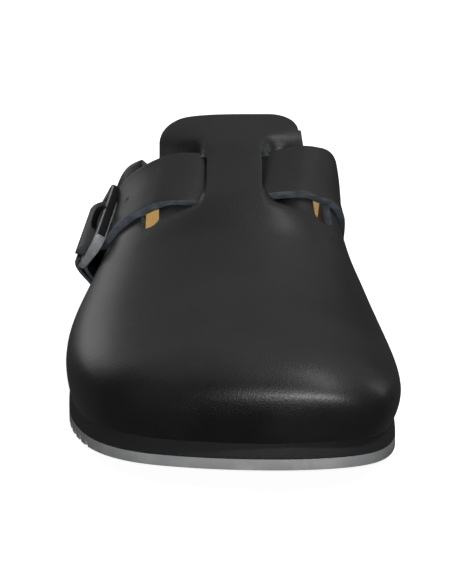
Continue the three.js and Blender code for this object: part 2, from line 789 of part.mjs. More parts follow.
// The frame is an eight-sided bar that runs round a rectangle with round corners
function makeFrame() {
  const halfLength = frameLength / 2 - barHalfWidth;
  const halfWidth = frameWidth / 2 - barHalfWidth;
  const path = new THREE.Path();
  path.moveTo(-halfLength + frameCorner, -halfWidth);
  path.lineTo(halfLength - frameCorner, -halfWidth);
  path.absarc(halfLength - frameCorner, -halfWidth + frameCorner, frameCorner, -Math.PI / 2, 0);
  path.lineTo(halfLength, halfWidth - frameCorner);
  path.absarc(halfLength - frameCorner, halfWidth - frameCorner, frameCorner, 0, Math.PI / 2);
  path.lineTo(-halfLength + frameCorner, halfWidth);
  path.absarc(-halfLength + frameCorner, halfWidth - frameCorner, frameCorner, Math.PI / 2, Math.PI);
  path.lineTo(-halfLength, -halfWidth + frameCorner);
  path.absarc(-halfLength + frameCorner, -halfWidth + frameCorner, frameCorner, Math.PI, 1.5 * Math.PI);
  const count = 34;
  const section = [
    [-1, -0.6],
    [-0.5, -1],
    [0.5, -1],
    [1, -0.6],
    [1, 0.6],
    [0.5, 1],
    [-0.5, 1],
    [-1, 0.6],
  ];
  const rings = [];
  for (let i = 0; i < count; i++) {
    const point = path.getPointAt(i / count);
    const run = path.getTangentAt(i / count);
    const outward = new THREE.Vector2(run.y, -run.x);
    rings.push(
      section.map(([aside, up]) => {
        const side = outward.clone().multiplyScalar(aside * barHalfWidth).add(point);
        const middle = frameMiddle + point.x;
        const lift = frameLift(middle) + up * frameHalfDepth(middle);
        return onStrap(frameMiddle + side.x, side.y, lift);
      }),
    );
  }
  return loft(rings, true);
}

// A drum of strap space about the far bar, between two places across the strap
function farBarDrum(radius, halfWidth) {
  const sides = 12;
  const rings = placesBetween(-halfWidth, halfWidth, 8).map((across) =>
    Array.from({ length: sides }, (_, j) => {
      const turn = (2 * Math.PI * j) / sides;
      const place = farBar + radius * Math.cos(turn);
      return onStrap(place, across, farBarLift + radius * Math.sin(turn));
    }),
  );
  return loft(rings);
}

// The tab is folded round the far bar, with a notch for the prong, and runs down to the sole
function makeTab() {
  const half = tabWidth / 2;
  const legPlaces = placesBetween(farBar + loopInner * 0.75, outerRimDistance, 7);
  const legs = band(legPlaces, () => tabWidth, 2 * tabThickness, () => gap);
  const notchReach = loopOuter + 2;
  const notchPlaces = [farBar - notchReach, farBar - 2, farBar + notchReach];
  const notchHeight = 2 * (loopOuter + tabThickness + gap);
  const notch = band(notchPlaces, () => tabNotch, notchHeight, () => -gap);
  return legs
    .add(farBarDrum(loopOuter, half))
    .subtract(farBarDrum(loopInner, half + 1))
    .subtract(notch)
    .subtract(underRim());
}

// The prong lies on the near bar, goes through the strap and turns on the far bar
function prongRod(clearance) {
  const overNearBar = nearBarLift + nearBarHalfDepth + gap + prongRadius;
  const half = (nearBarDistance + farBar) / 2;
  const halfLift = (overNearBar + farBarLift) / 2;
  const path = [
    { place: nearBarDistance - 3.4, across: 0, lift: overNearBar - 0.6 - clearance },
    { place: nearBarDistance, across: 0, lift: overNearBar },
    { place: nearBarDistance + 3.5, across: 0, lift: overNearBar - 0.2 },
    { place: half, across: 0, lift: halfLift + 0.4 },
    { place: farBar - 4.2, across: 0, lift: farBarLift + 0.6 },
    { place: farBar - loopInner - 0.4, across: 0, lift: farBarLift },
  ];
  return rod(path, prongRadius + clearance, 10);
}

function makeProng() {
  const knuckle = farBarDrum(loopOuter - 0.4, knuckleWidth / 2);
  const bore = farBarDrum(loopInner, knuckleWidth);
  return knuckle.add(prongRod(0)).subtract(bore);
}

// Assembly

const shoe = new THREE.Group();

function place(name, solid, colour, roughness, metalness) {
  const material = new THREE.MeshStandardMaterial({ color: colour, roughness, metalness });
  const mesh = new THREE.Mesh(geometryOf(solid), material);
  mesh.name = name;
  shoe.add(mesh);
}

place("outsole", makeOutsole(), 0x868a88, 0.8, 0);
place("midsole", makeMidsole(), 0x1b1b1c, 0.75, 0);
place("footbed", makeFootbed(), 0xc79a56, 0.9, 0);
place("upper", makeUpper(), 0x232324, 0.45, 0);
place("strap", makeStrap(), 0x2a2a2c, 0.5, 0);
place("buckle_tab", makeTab(), 0x2a2a2c, 0.5, 0);
place("buckle_frame", makeFrame(), 0x1d1d1f, 0.35, 0.6);
place("buckle_prong", makeProng(), 0x1d1d1f, 0.35, 0.6);

export default shoe;
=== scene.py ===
"""A black leather chef clog for the right foot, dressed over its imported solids.

Metres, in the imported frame: the toe points along -Y, the big-toe side is +X and the sole stands on Z = 0.
Sizes in the dataclasses are millimetres, as in the part's own drawing.
"""
import logging
import math
from dataclasses import dataclass, field
from enum import Enum
from typing import Callable, Protocol, Union

import bmesh
import bpy
import numpy as np
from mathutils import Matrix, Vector


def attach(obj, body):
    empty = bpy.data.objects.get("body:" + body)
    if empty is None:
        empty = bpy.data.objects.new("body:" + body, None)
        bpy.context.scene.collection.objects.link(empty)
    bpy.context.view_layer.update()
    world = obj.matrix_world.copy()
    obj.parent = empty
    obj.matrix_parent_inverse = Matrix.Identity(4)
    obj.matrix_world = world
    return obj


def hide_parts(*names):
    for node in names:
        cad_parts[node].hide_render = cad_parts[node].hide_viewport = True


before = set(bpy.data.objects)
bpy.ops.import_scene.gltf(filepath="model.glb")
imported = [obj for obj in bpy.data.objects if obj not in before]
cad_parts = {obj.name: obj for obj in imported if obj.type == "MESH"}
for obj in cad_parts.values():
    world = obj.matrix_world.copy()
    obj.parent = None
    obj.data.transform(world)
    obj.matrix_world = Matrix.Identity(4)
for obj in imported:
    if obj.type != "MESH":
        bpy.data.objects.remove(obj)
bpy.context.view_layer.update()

MM = 0.001
log = logging.getLogger("clog")
Colour = tuple[float, float, float, float]


class Finish(Protocol):
    """A named finish that can build its material."""

    name: str

    def make(self) -> bpy.types.Material:
        """Build the material."""


Number = Union[float, "Value"]


class Side(Enum):
    """A side of the shoe, by the name of its column in the tables."""

    OUTER = "outer"
    INNER = "inner"

    @property
    def sign(self) -> int:
        """The side's direction along X."""
        return -1 if self is Side.OUTER else 1


# Shader tools


class Value:
    """A shader socket that takes part in Python arithmetic."""

    def __init__(self, shader: "Shader", socket: bpy.types.NodeSocket) -> None:
        """Wrap a socket.

        Args:
            shader: The shader that the socket's node belongs to.
            socket: An output socket.
        """
        self.shader = shader
        self.socket = socket

    def __add__(self, other: Number) -> "Value":
        """Add."""
        return self.shader.math("ADD", self, other)

    __radd__ = __add__

    def __sub__(self, other: Number) -> "Value":
        """Subtract."""
        return self.shader.math("SUBTRACT", self, other)

    def __rsub__(self, other: Number) -> "Value":
        """Subtract this from a number."""
        return self.shader.math("SUBTRACT", other, self)

    def __mul__(self, other: Number) -> "Value":
        """Multiply."""
        return self.shader.math("MULTIPLY", self, other)

    __rmul__ = __mul__


class Shader:
    """Builds one material, node by node."""

    def __init__(self, name: str) -> None:
        """Start an empty material.

        Args:
            name: The material's name.
        """
        self.material = bpy.data.materials.new(name)
        self.material.use_nodes = True
        self.tree = self.material.node_tree
        self.tree.nodes.clear()
        self.place = self.node("ShaderNodeTexCoord", output="Object")

    def node(
        self,
        kind: str,
        settings: dict[str, object] | None = None,
        inputs: dict[str | int, object] | None = None,
        output: str | int = 0,
    ) -> Value:
        """Add any node.

        Args:
            kind: The node's Blender type.
            settings: Its settings, set first.
            inputs: Values or links of its sockets, by name or place.
            output: The output that is returned.

        Returns:
            The output socket, wrapped.
        """
        made = self.tree.nodes.new(kind)
        for key, value in (settings or {}).items():
            setattr(made, key, value)
        for key, value in (inputs or {}).items():
            if isinstance(value, Value):
                self.tree.links.new(value.socket, made.inputs[key])
            else:
                made.inputs[key].default_value = value
        return Value(self, made.outputs[output])

    def math(self, operation: str, first: Number, second: Number) -> Value:
        """Add a Math node on two values."""
        return self.node("ShaderNodeMath", {"operation": operation}, {0: first, 1: second})

    def between(self, low: float, high: float, value: Value) -> Value:
        """Rise smoothly from 0 to 1 while a value goes from low to high."""
        inputs = {"Value": value, "From Min": low, "From Max": high}
        return self.node("ShaderNodeMapRange", {"interpolation_type": "SMOOTHSTEP"}, inputs)

    def noise(self, size: float, detail: float = 3.0, roughness: float = 0.55) -> Value:
        """Noise with features of a size in millimetres, from about 0 to 1."""
        inputs = {"Vector": self.place, "Scale": 1 / (size * MM), "Detail": detail, "Roughness": roughness}
        return self.node("ShaderNodeTexNoise", None, inputs)

    def cells(self, size: float) -> Value:
        """Distance inside round cells of a size in millimetres."""
        inputs = {"Vector": self.place, "Scale": 1 / (size * MM)}
        return self.node("ShaderNodeTexVoronoi", {"feature": "F1"}, inputs, "Distance")

    def mix(self, factor: Number, first: object, second: object) -> Value:
        """Mix two colours by a factor."""
        return self.node("ShaderNodeMix", {"data_type": "RGBA"}, {0: factor, 6: first, 7: second}, 2)

    def bump(self, height: Value, depth: float, below: Value | None = None) -> Value:
        """Turn a height from 0 to 1 into a surface normal.

        Args:
            height: The height.
            depth: What a height of 1 stands for, in millimetres.
            below: The normal of a coarser bump under this one.

        Returns:
            The normal.
        """
        inputs: dict[str | int, object] = {"Height": height, "Distance": depth * MM, "Strength": 1.0}
        if below is not None:
            inputs["Normal"] = below
        return self.node("ShaderNodeBump", None, inputs)

    def finish(self, inputs: dict[str | int, object]) -> bpy.types.Material:
        """Close the material with a Principled shader.

        Args:
            inputs: The shader's values and links by socket name.

        Returns:
            The material.
        """
        surface = self.node("ShaderNodeBsdfPrincipled", None, inputs)
        output = self.tree.nodes.new("ShaderNodeOutputMaterial")
        self.tree.links.new(surface.socket, output.inputs["Surface"])
        return self.material


def grey(level: float, warmth: float = 0.0) -> Colour:
    """A near-neutral colour, warmer above 0 and cooler below."""
    return (level * (1 + warmth), level, level * (1 - warmth), 1.0)


# Finishes


@dataclass(frozen=True)
class Leather:
    """Smooth black leather with fine grain and a low polish."""

    name: str = "upper_leather"
    dark: float = 0.0035
    light: float = 0.008
    grain_size: float = 0.75
    grain_depth: float = 0.06
    wrinkle_depth: float = 0.06
    roughness: float = 0.42
    polish: float = 0.25

    def make(self) -> bpy.types.Material:
        """Build the material.

        Returns:
            The material.
        """
        shader = Shader(self.name)
        mottle = shader.noise(26, 4)
        pores = shader.cells(self.grain_size)
        fine = shader.noise(0.5, 2)
        wrinkle = shader.noise(5.5, 3, 0.6)
        tone = shader.between(0.3, 0.72, mottle)
        colour = shader.mix(tone, grey(self.dark, -0.02), grey(self.light, -0.02))
        coarse = shader.bump(wrinkle, self.wrinkle_depth)
        grain = shader.bump(pores * 0.7 + fine * 0.3, self.grain_depth, coarse)
        return shader.finish(
            {
                "Base Color": colour,
                "Roughness": self.roughness + 0.16 * (mottle - 0.5) + 0.1 * (fine - 0.5),
                "Coat Weight": self.polish,
                "Coat Roughness": 0.28,
                "Specular IOR Level": 0.45,
                "Normal": grain,
            }
        )


@dataclass(frozen=True)
class CutEdge:
    """The painted cut edge of a leather piece."""

    name: str = "painted_edge"
    level: float = 0.07

    def make(self) -> bpy.types.Material:
        """Build the material.

        Returns:
            The material.
        """
        shader = Shader(self.name)
        wear = shader.between(0.35, 0.75, shader.noise(3, 4))
        colour = shader.mix(wear, grey(self.level * 0.7, -0.14), grey(self.level * 1.3, -0.16))
        normal = shader.bump(shader.noise(0.35, 3), 0.04)
        return shader.finish({"Base Color": colour, "Roughness": 0.5 + 0.15 * wear, "Normal": normal})


@dataclass(frozen=True)
class Foam:
    """Matt black moulded foam with a fine pebbled skin."""

    name: str = "midsole_foam"
    level: float = 0.017
    grain_depth: float = 0.16

    def make(self) -> bpy.types.Material:
        """Build the material.

        Returns:
            The material.
        """
        shader = Shader(self.name)
        pebble = shader.cells(0.62)
        speck = shader.noise(0.42, 2)
        mottle = shader.noise(14, 3)
        colour = shader.mix(mottle, grey(self.level * 0.75), grey(self.level * 1.35))
        normal = shader.bump(0.7 * pebble + 0.3 * speck, self.grain_depth)
        return shader.finish(
            {"Base Color": colour, "Roughness": 0.62 + 0.12 * (speck - 0.5), "Normal": normal}
        )


@dataclass(frozen=True)
class FoamRimHighlight(Foam):
    """The foam's rounded rim, painted lighter as a highlight along the edge."""

    name: str = "midsole_rim_painted_highlight"
    # A painted highlight, far lighter than the foam's own black.
    level: float = 0.15


@dataclass(frozen=True)
class Rubber:
    """Matt grey outsole rubber."""

    name: str = "outsole_rubber"
    level: float = 0.235

    def make(self) -> bpy.types.Material:
        """Build the material.

        Returns:
            The material.
        """
        shader = Shader(self.name)
        speck = shader.noise(0.5, 3)
        dust = shader.between(0.42, 0.75, shader.noise(9, 4))
        colour = shader.mix(dust, grey(self.level, -0.02), grey(self.level * 1.25, 0.0))
        normal = shader.bump(speck, 0.03)
        return shader.finish(
            {"Base Color": colour, "Roughness": 0.66 + 0.14 * (dust - 0.5), "Normal": normal}
        )


@dataclass(frozen=True)
class Suede:
    """Tan suede lining with a short nap."""

    name: str = "footbed_suede"
    dark: Colour = (0.58, 0.32, 0.075, 1.0)
    light: Colour = (0.86, 0.52, 0.15, 1.0)

    def make(self) -> bpy.types.Material:
        """Build the material.

        Returns:
            The material.
        """
        shader = Shader(self.name)
        brushed = shader.noise(11, 5, 0.6)
        nap = shader.noise(0.45, 3, 0.7)
        tone = shader.between(0.2, 0.8, 0.6 * brushed + 0.4 * nap)
        colour = shader.mix(tone, self.dark, self.light)
        normal = shader.bump(nap, 0.09)
        return shader.finish(
            {
                "Base Color": colour,
                "Roughness": 0.86 + 0.1 * (nap - 0.5),
                "Sheen Weight": 0.25,
                "Sheen Roughness": 0.4,
                "Normal": normal,
            }
        )


@dataclass(frozen=True)
class BuckleMetal:
    """Black coated metal with a satin skin."""

    name: str = "buckle_metal"
    level: float = 0.005
    roughness: float = 0.46

    def make(self) -> bpy.types.Material:
        """Build the material.

        Returns:
            The material.
        """
        shader = Shader(self.name)
        rub = shader.between(0.45, 0.8, shader.noise(2.4, 4))
        fine = shader.noise(0.3, 2)
        colour = shader.mix(rub, grey(self.level, -0.03), grey(self.level * 1.9, -0.02))
        return shader.finish(
            {
                "Base Color": colour,
                "Roughness": self.roughness + 0.1 * (fine - 0.5),
                "Metallic": 0.25 * rub,
                "Specular IOR Level": 0.12,
                "Coat Weight": 0.12,
                "Coat Roughness": 0.3,
                "Normal": shader.bump(fine, 0.012),
            }
        )


@dataclass(frozen=True)
class PaintedHighlightMetal(BuckleMetal):
    """The buckle's metal painted a lighter grey satin, as highlights on its edges and light on its lit face.
    """

    name: str = "buckle_painted_highlight"
    # A painted highlight, far lighter than the black metal.
    level: float = 0.17
    roughness: float = 0.42


@dataclass(frozen=True)
class StrapLeather(Leather):
    """The strap's leather, a little drier than the upper's."""

    name: str = "strap_leather"
    dark: float = 0.006
    light: float = 0.012
    roughness: float = 0.52
    polish: float = 0.2


@dataclass(frozen=True)
class FleshSide:
    """The napped grey inner side of the leather."""

    name: str = "leather_flesh_side"
    level: float = 0.09

    def make(self) -> bpy.types.Material:
        """Build the material.

        Returns:
            The material.
        """
        shader = Shader(self.name)
        nap = shader.noise(0.6, 4, 0.7)
        cloud = shader.noise(12, 4)
        dark, light = grey(self.level * 0.6, -0.05), grey(self.level * 1.4, -0.05)
        colour = shader.mix(0.5 * nap + 0.5 * cloud, dark, light)
        normal = shader.bump(nap, 0.08)
        return shader.finish({"Base Color": colour, "Roughness": 0.85 + 0.1 * (nap - 0.5), "Normal": normal})


# Shape tools


@dataclass(frozen=True)
class Table:
    """Rows of numbers under named columns, read between the rows by a smooth curve."""

    columns: tuple[str, ...]
    rows: tuple[tuple[float, ...], ...]
    scale: Callable[[np.ndarray], np.ndarray]

    def at(self, column: str, place: np.ndarray) -> np.ndarray:
        """Read a column.

        Args:
            column: The column's name.
            place: Places along the first column.

        Returns:
            The values there.
        """
        data = np.array(self.rows)
        xs = self.scale(data[:, 0])
        ys = data[:, self.columns.index(column)]
        x = self.scale(np.asarray(place, dtype=float))
        i = np.searchsorted(xs[1:-1], x)
        slopes = np.diff(ys) / np.diff(xs)
        middle = slopes[i]
        before = (slopes[np.maximum(i - 1, 0)] + middle) / 2
        after = (slopes[np.minimum(i + 1, len(slopes) - 1)] + middle) / 2
        width = xs[i + 1] - xs[i]
        t = np.clip((x - xs[i]) / width, 0, 1)
        rise = t * t * (3 - 2 * t)
        bow = width * t * (1 - t) * ((1 - t) * before - t * after)
        return ys[i] * (1 - rise) + ys[i + 1] * rise + bow


def round_ends(along: np.ndarray) -> np.ndarray:
    """A scale that opens up both round ends of a share of the length."""
    return np.arccos(1 - 2 * np.clip(along, 0, 1))


def round_toe(along: np.ndarray) -> np.ndarray:
    """A scale that opens up the round toe."""
    return np.sqrt(np.maximum(along, 0))


def plain(along: np.ndarray) -> np.ndarray:
    """A scale that leaves places as they are."""
    return along


def smoothstep(value: np.ndarray, low: float, high: float) -> np.ndarray:
    """Rise smoothly from 0 to 1 while a value goes from low to high."""
    t = np.clip((value - low) / (high - low), 0, 1)
    return t * t * (3 - 2 * t)


def unit(vectors: np.ndarray) -> np.ndarray:
    """Vectors at length 1."""
    return vectors / np.maximum(np.linalg.norm(vectors, axis=-1, keepdims=True), 1e-12)


# Mesh tools


def added(name: str, operator: Callable[..., object], **settings: object) -> bpy.types.Object:
    """Add a primitive with everything else deselected.

    Args:
        name: The new object's name.
        operator: A primitive operator.
        settings: The operator's settings.

    Returns:
        The new object.
    """
    bpy.ops.object.select_all(action="DESELECT")
    operator(**settings)
    made = bpy.context.object
    made.name = name
    made.data.name = name
    return made


def sheet(name: str, across: int, along: int) -> bpy.types.Object:
    """A flat grid from 0 to 1 each way, to be shaped by a formula."""
    grid = bpy.ops.mesh.primitive_grid_add
    made = added(name, grid, x_subdivisions=across, y_subdivisions=along, size=1)
    reshape(made, lambda p: p + np.array([0.5, 0.5, 0.0]), 1.0)
    return made


def block(name: str, across: int, along: int) -> bpy.types.Object:
    """The same grid extruded to a height of 1, as a closed solid."""
    made = sheet(name, across, along)
    bpy.ops.object.mode_set(mode="EDIT")
    bpy.ops.mesh.select_all(action="SELECT")
    bpy.ops.mesh.extrude_region_move(TRANSFORM_OT_translate={"value": (0, 0, 1)})
    bpy.ops.object.mode_set(mode="OBJECT")
    return made


def reshape(
    piece: bpy.types.Object, shape: Callable[[np.ndarray], np.ndarray], unit_size: float = MM
) -> None:
    """Move every vertex by a formula.

    Args:
        piece: The object.
        shape: Takes the vertices as rows and gives their new places.
        unit_size: Metres in a unit of the new places.
    """
    flat = np.empty(len(piece.data.vertices) * 3)
    piece.data.vertices.foreach_get("co", flat)
    moved = shape(flat.reshape(-1, 3)) * unit_size
    piece.data.vertices.foreach_set("co", moved.ravel())
    piece.data.update()


def edit(piece: bpy.types.Object, *steps: Callable[[], object]) -> None:
    """Run edit-mode steps on the whole of a piece."""
    bpy.ops.object.select_all(action="DESELECT")
    piece.select_set(True)
    bpy.context.view_layer.objects.active = piece
    bpy.ops.object.mode_set(mode="EDIT")
    bpy.ops.mesh.select_all(action="SELECT")
    for step in steps:
        step()
    bpy.ops.object.mode_set(mode="OBJECT")


def weld(piece: bpy.types.Object, distance: float = 0.02) -> None:
    """Merge vertices that lie within a distance in millimetres."""
    edit(piece, lambda: bpy.ops.mesh.remove_doubles(threshold=distance * MM))


def face_out(piece: bpy.types.Object) -> None:
    """Point a closed solid's faces outwards."""
    edit(piece, lambda: bpy.ops.mesh.normals_make_consistent(inside=False))


def face_along(piece: bpy.types.Object, direction: Vector) -> None:
    """Turn an open sheet over where its faces point against a direction.

    Args:
        piece: The sheet.
        direction: Where most of its area should face.
    """
    total = Vector()
    for polygon in piece.data.polygons:
        total += polygon.normal * polygon.area
    if total.dot(direction) < 0:
        edit(piece, lambda: bpy.ops.mesh.flip_normals())


def modify(piece: bpy.types.Object, kind: str, **settings: object) -> None:
    """Add a modifier and apply it.

    Args:
        piece: The object.
        kind: The modifier's type.
        settings: Its settings.
    """
    bpy.context.view_layer.objects.active = piece
    modifier = piece.modifiers.new(kind.lower(), kind)
    for key, value in settings.items():
        setattr(modifier, key, value)
    bpy.ops.object.modifier_apply(modifier=modifier.name)


def soften(
    piece: bpy.types.Object, width: float, segments: int = 2, angle: float = 50.0, slot: int = -1
) -> None:
    """Round the sharp edges of a piece.

    Args:
        piece: The object.
        width: The bevel's width in millimetres.
        segments: Faces across the bevel.
        angle: The least angle in degrees between faces that are rounded.
        slot: The material of the new faces, or -1 for that of their neighbours.
    """
    modify(
        piece,
        "BEVEL",
        width=width * MM,
        segments=segments,
        limit_method="ANGLE",
        angle_limit=math.radians(angle),
        harden_normals=False,
        material=slot,
    )


def smooth(piece: bpy.types.Object, angle: float = 40.0) -> None:
    """Shade a piece smooth up to an angle in degrees."""
    bpy.ops.object.select_all(action="DESELECT")
    piece.select_set(True)
    bpy.context.view_layer.objects.active = piece
    bpy.ops.object.shade_smooth_by_angle(angle=math.radians(angle))


def trim(piece: bpy.types.Object, level: Callable[[np.ndarray], np.ndarray]) -> None:
    """Cut away the part of an open sheet where a level is below zero.

    Vertices that lie close to the cut are moved onto it, so that no slivers are left.

    Args:
        piece: The sheet.
        level: Takes vertices in millimetres as rows and gives one number for each.
    """
    body = bmesh.new()
    body.from_mesh(piece.data)
    places = np.array([v.co for v in body.verts]) / MM
    levels = dict(zip(body.verts, level(places)))
    snapped: dict[bmesh.types.BMVert, tuple[float, Vector]] = {}
    for edge in body.edges:
        first, second = edge.verts
        if levels[first] * levels[second] >= 0:
            continue
        share = levels[first] / (levels[first] - levels[second])
        point = first.co.lerp(second.co, share)
        near, reach = (first, share) if share < 0.5 else (second, 1 - share)
        if reach < 0.3 and (near not in snapped or reach < snapped[near][0]):
            snapped[near] = (reach, point)
    for vertex, (_, point) in snapped.items():
        vertex.co = point
        levels[vertex] = 0.0
    for edge in list(body.edges):
        first, second = edge.verts
        if levels[first] * levels[second] < 0:
            share = levels[first] / (levels[first] - levels[second])
            _, made = bmesh.utils.edge_split(edge, first, share)
            levels[made] = 0.0
    for polygon in list(body.faces):
        signs = {levels[v] > 0 for v in polygon.verts if levels[v] != 0}
        if len(signs) < 2:
            continue
        on_cut = [v for v in polygon.verts if levels[v] == 0]
        if len(on_cut) == 2:
            bmesh.utils.face_split(polygon, on_cut[0], on_cut[1])
    doomed = [f for f in body.faces if sum(levels[v] for v in f.verts) < 0]
    bmesh.ops.delete(body, geom=doomed, context="FACES")
    body.to_mesh(piece.data)
    body.free()
    piece.data.update()


material_store: dict[str, bpy.types.Material] = {}


def dress(piece: bpy.types.Object, *finishes: Finish) -> None:
    """Give a piece its materials, in slot order, before walls and bevels ask for them."""
    for finish in finishes:
        if finish.name not in material_store:
            material_store[finish.name] = finish.make()
        piece.data.materials.append(material_store[finish.name])


def finished(piece: bpy.types.Object, node: str) -> None:
    """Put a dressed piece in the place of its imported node.

    Args:
        piece: The object.
        node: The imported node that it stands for.
    """
    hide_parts(node)
    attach(piece, "root")
    log.info("%s: %d faces", piece.name, len(piece.data.polygons))


# The shoe's own shape


OUTLINE = Table(
    ("along", "outer", "inner"),
    (
        (0.0, 0.131, 0.131),
        (0.018, -0.121, 0.327),
        (0.043, -0.252, 0.407),
        (0.078, -0.346, 0.456),
        (0.124, -0.416, 0.484),
        (0.177, -0.463, 0.493),
        (0.23, -0.491, 0.492),
        (0.284, -0.501, 0.479),
        (0.337, -0.501, 0.44),
        (0.408, -0.468, 0.377),
        (0.479, -0.437, 0.33),
        (0.55, -0.412, 0.305),
        (0.62, -0.395, 0.299),
        (0.69, -0.38, 0.308),
        (0.762, -0.37, 0.326),
        (0.833, -0.364, 0.344),
        (0.894, -0.341, 0.327),
        (0.94, -0.29, 0.28),
        (0.975, -0.196, 0.196),
        (1.0, 0.0, 0.0),
    ),
    round_ends,
)

SIDE = Table(
    ("along", "rim", "cup"),
    (
        (0.0, 0.307, 0.0),
        (0.16, 0.35, 0.0),
        (0.284, 0.4, 0.06),
        (0.426, 0.507, 0.26),
        (0.532, 0.61, 0.48),
        (0.603, 0.7, 0.68),
        (0.709, 0.827, 0.88),
        (0.798, 0.91, 1.0),
        (0.88, 0.965, 0.9),
        (0.95, 0.99, 0.52),
        (1.0, 1.0, 0.0),
    ),
    round_ends,
)

LAST = Table(
    ("along", "outer", "inner", "crest", "top", "waist", "under"),
    (
        (0.0, 0.131, 0.131, 0.131, 0.335, 0.335, 0.0),
        (0.011, -0.131, 0.341, 0.112, 0.433, 0.329, 0.146),
        (0.035, -0.257, 0.43, 0.093, 0.49, 0.323, 0.244),
        (0.071, -0.355, 0.478, 0.075, 0.532, 0.315, 0.305),
        (0.113, -0.423, 0.499, 0.056, 0.561, 0.305, 0.341),
        (0.16, -0.468, 0.502, 0.047, 0.596, 0.295, 0.366),
        (0.213, -0.497, 0.493, 0.042, 0.634, 0.283, 0.366),
        (0.266, -0.505, 0.473, 0.047, 0.685, 0.276, 0.366),
        (0.319, -0.5, 0.444, 0.06, 0.744, 0.273, 0.366),
        (0.372, -0.465, 0.388, 0.09, 0.805, 0.278, 0.366),
        (0.426, -0.433, 0.335, 0.13, 0.862, 0.288, 0.366),
        (0.479, -0.414, 0.323, 0.15, 0.925, 0.3, 0.366),
        (0.532, -0.403, 0.311, 0.14, 1.0, 0.317, 0.366),
        (0.603, -0.392, 0.309, 0.11, 1.079, 0.346, 0.366),
        (0.691, -0.382, 0.313, 0.07, 1.159, 0.378, 0.366),
        (0.82, -0.372, 0.334, 0.037, 1.232, 0.415, 0.366),
    ),
    round_toe,
)

FLANKS = Table(
    ("along", "outer", "inner", "outer_lean", "inner_lean"),
    (
        (0.0, 2.2, 2.2, 0.0, 0.0),
        (0.071, 2.2, 2.2, 0.0, 0.02),
        (0.16, 2.1, 2.1, 0.02, 0.03),
        (0.266, 2.1, 2.15, 0.04, 0.04),
        (0.319, 2.25, 2.4, 0.08, 0.06),
        (0.372, 2.6, 3.2, 0.08, 0.04),
        (0.426, 3.1, 5.0, 0.1, 0.0),
        (0.479, 3.6, 6.6, 0.11, -0.01),
        (0.532, 4.4, 6.0, 0.08, -0.02),
        (0.603, 3.6, 4.2, 0.1, 0.0),
        (0.691, 2.6, 3.0, 0.12, 0.08),
        (0.82, 2.2, 2.4, 0.05, 0.04),
    ),
    round_toe,
)

WING_REAR = Table(
    ("drop", "run"),
    ((-2.0, -0.2), (-0.19, -0.11), (0.0, 0.0), (0.3, 0.1), (0.68, 0.42), (0.98, 0.8), (1.2, 1.0), (1.8, 1.5)),
    plain,
)


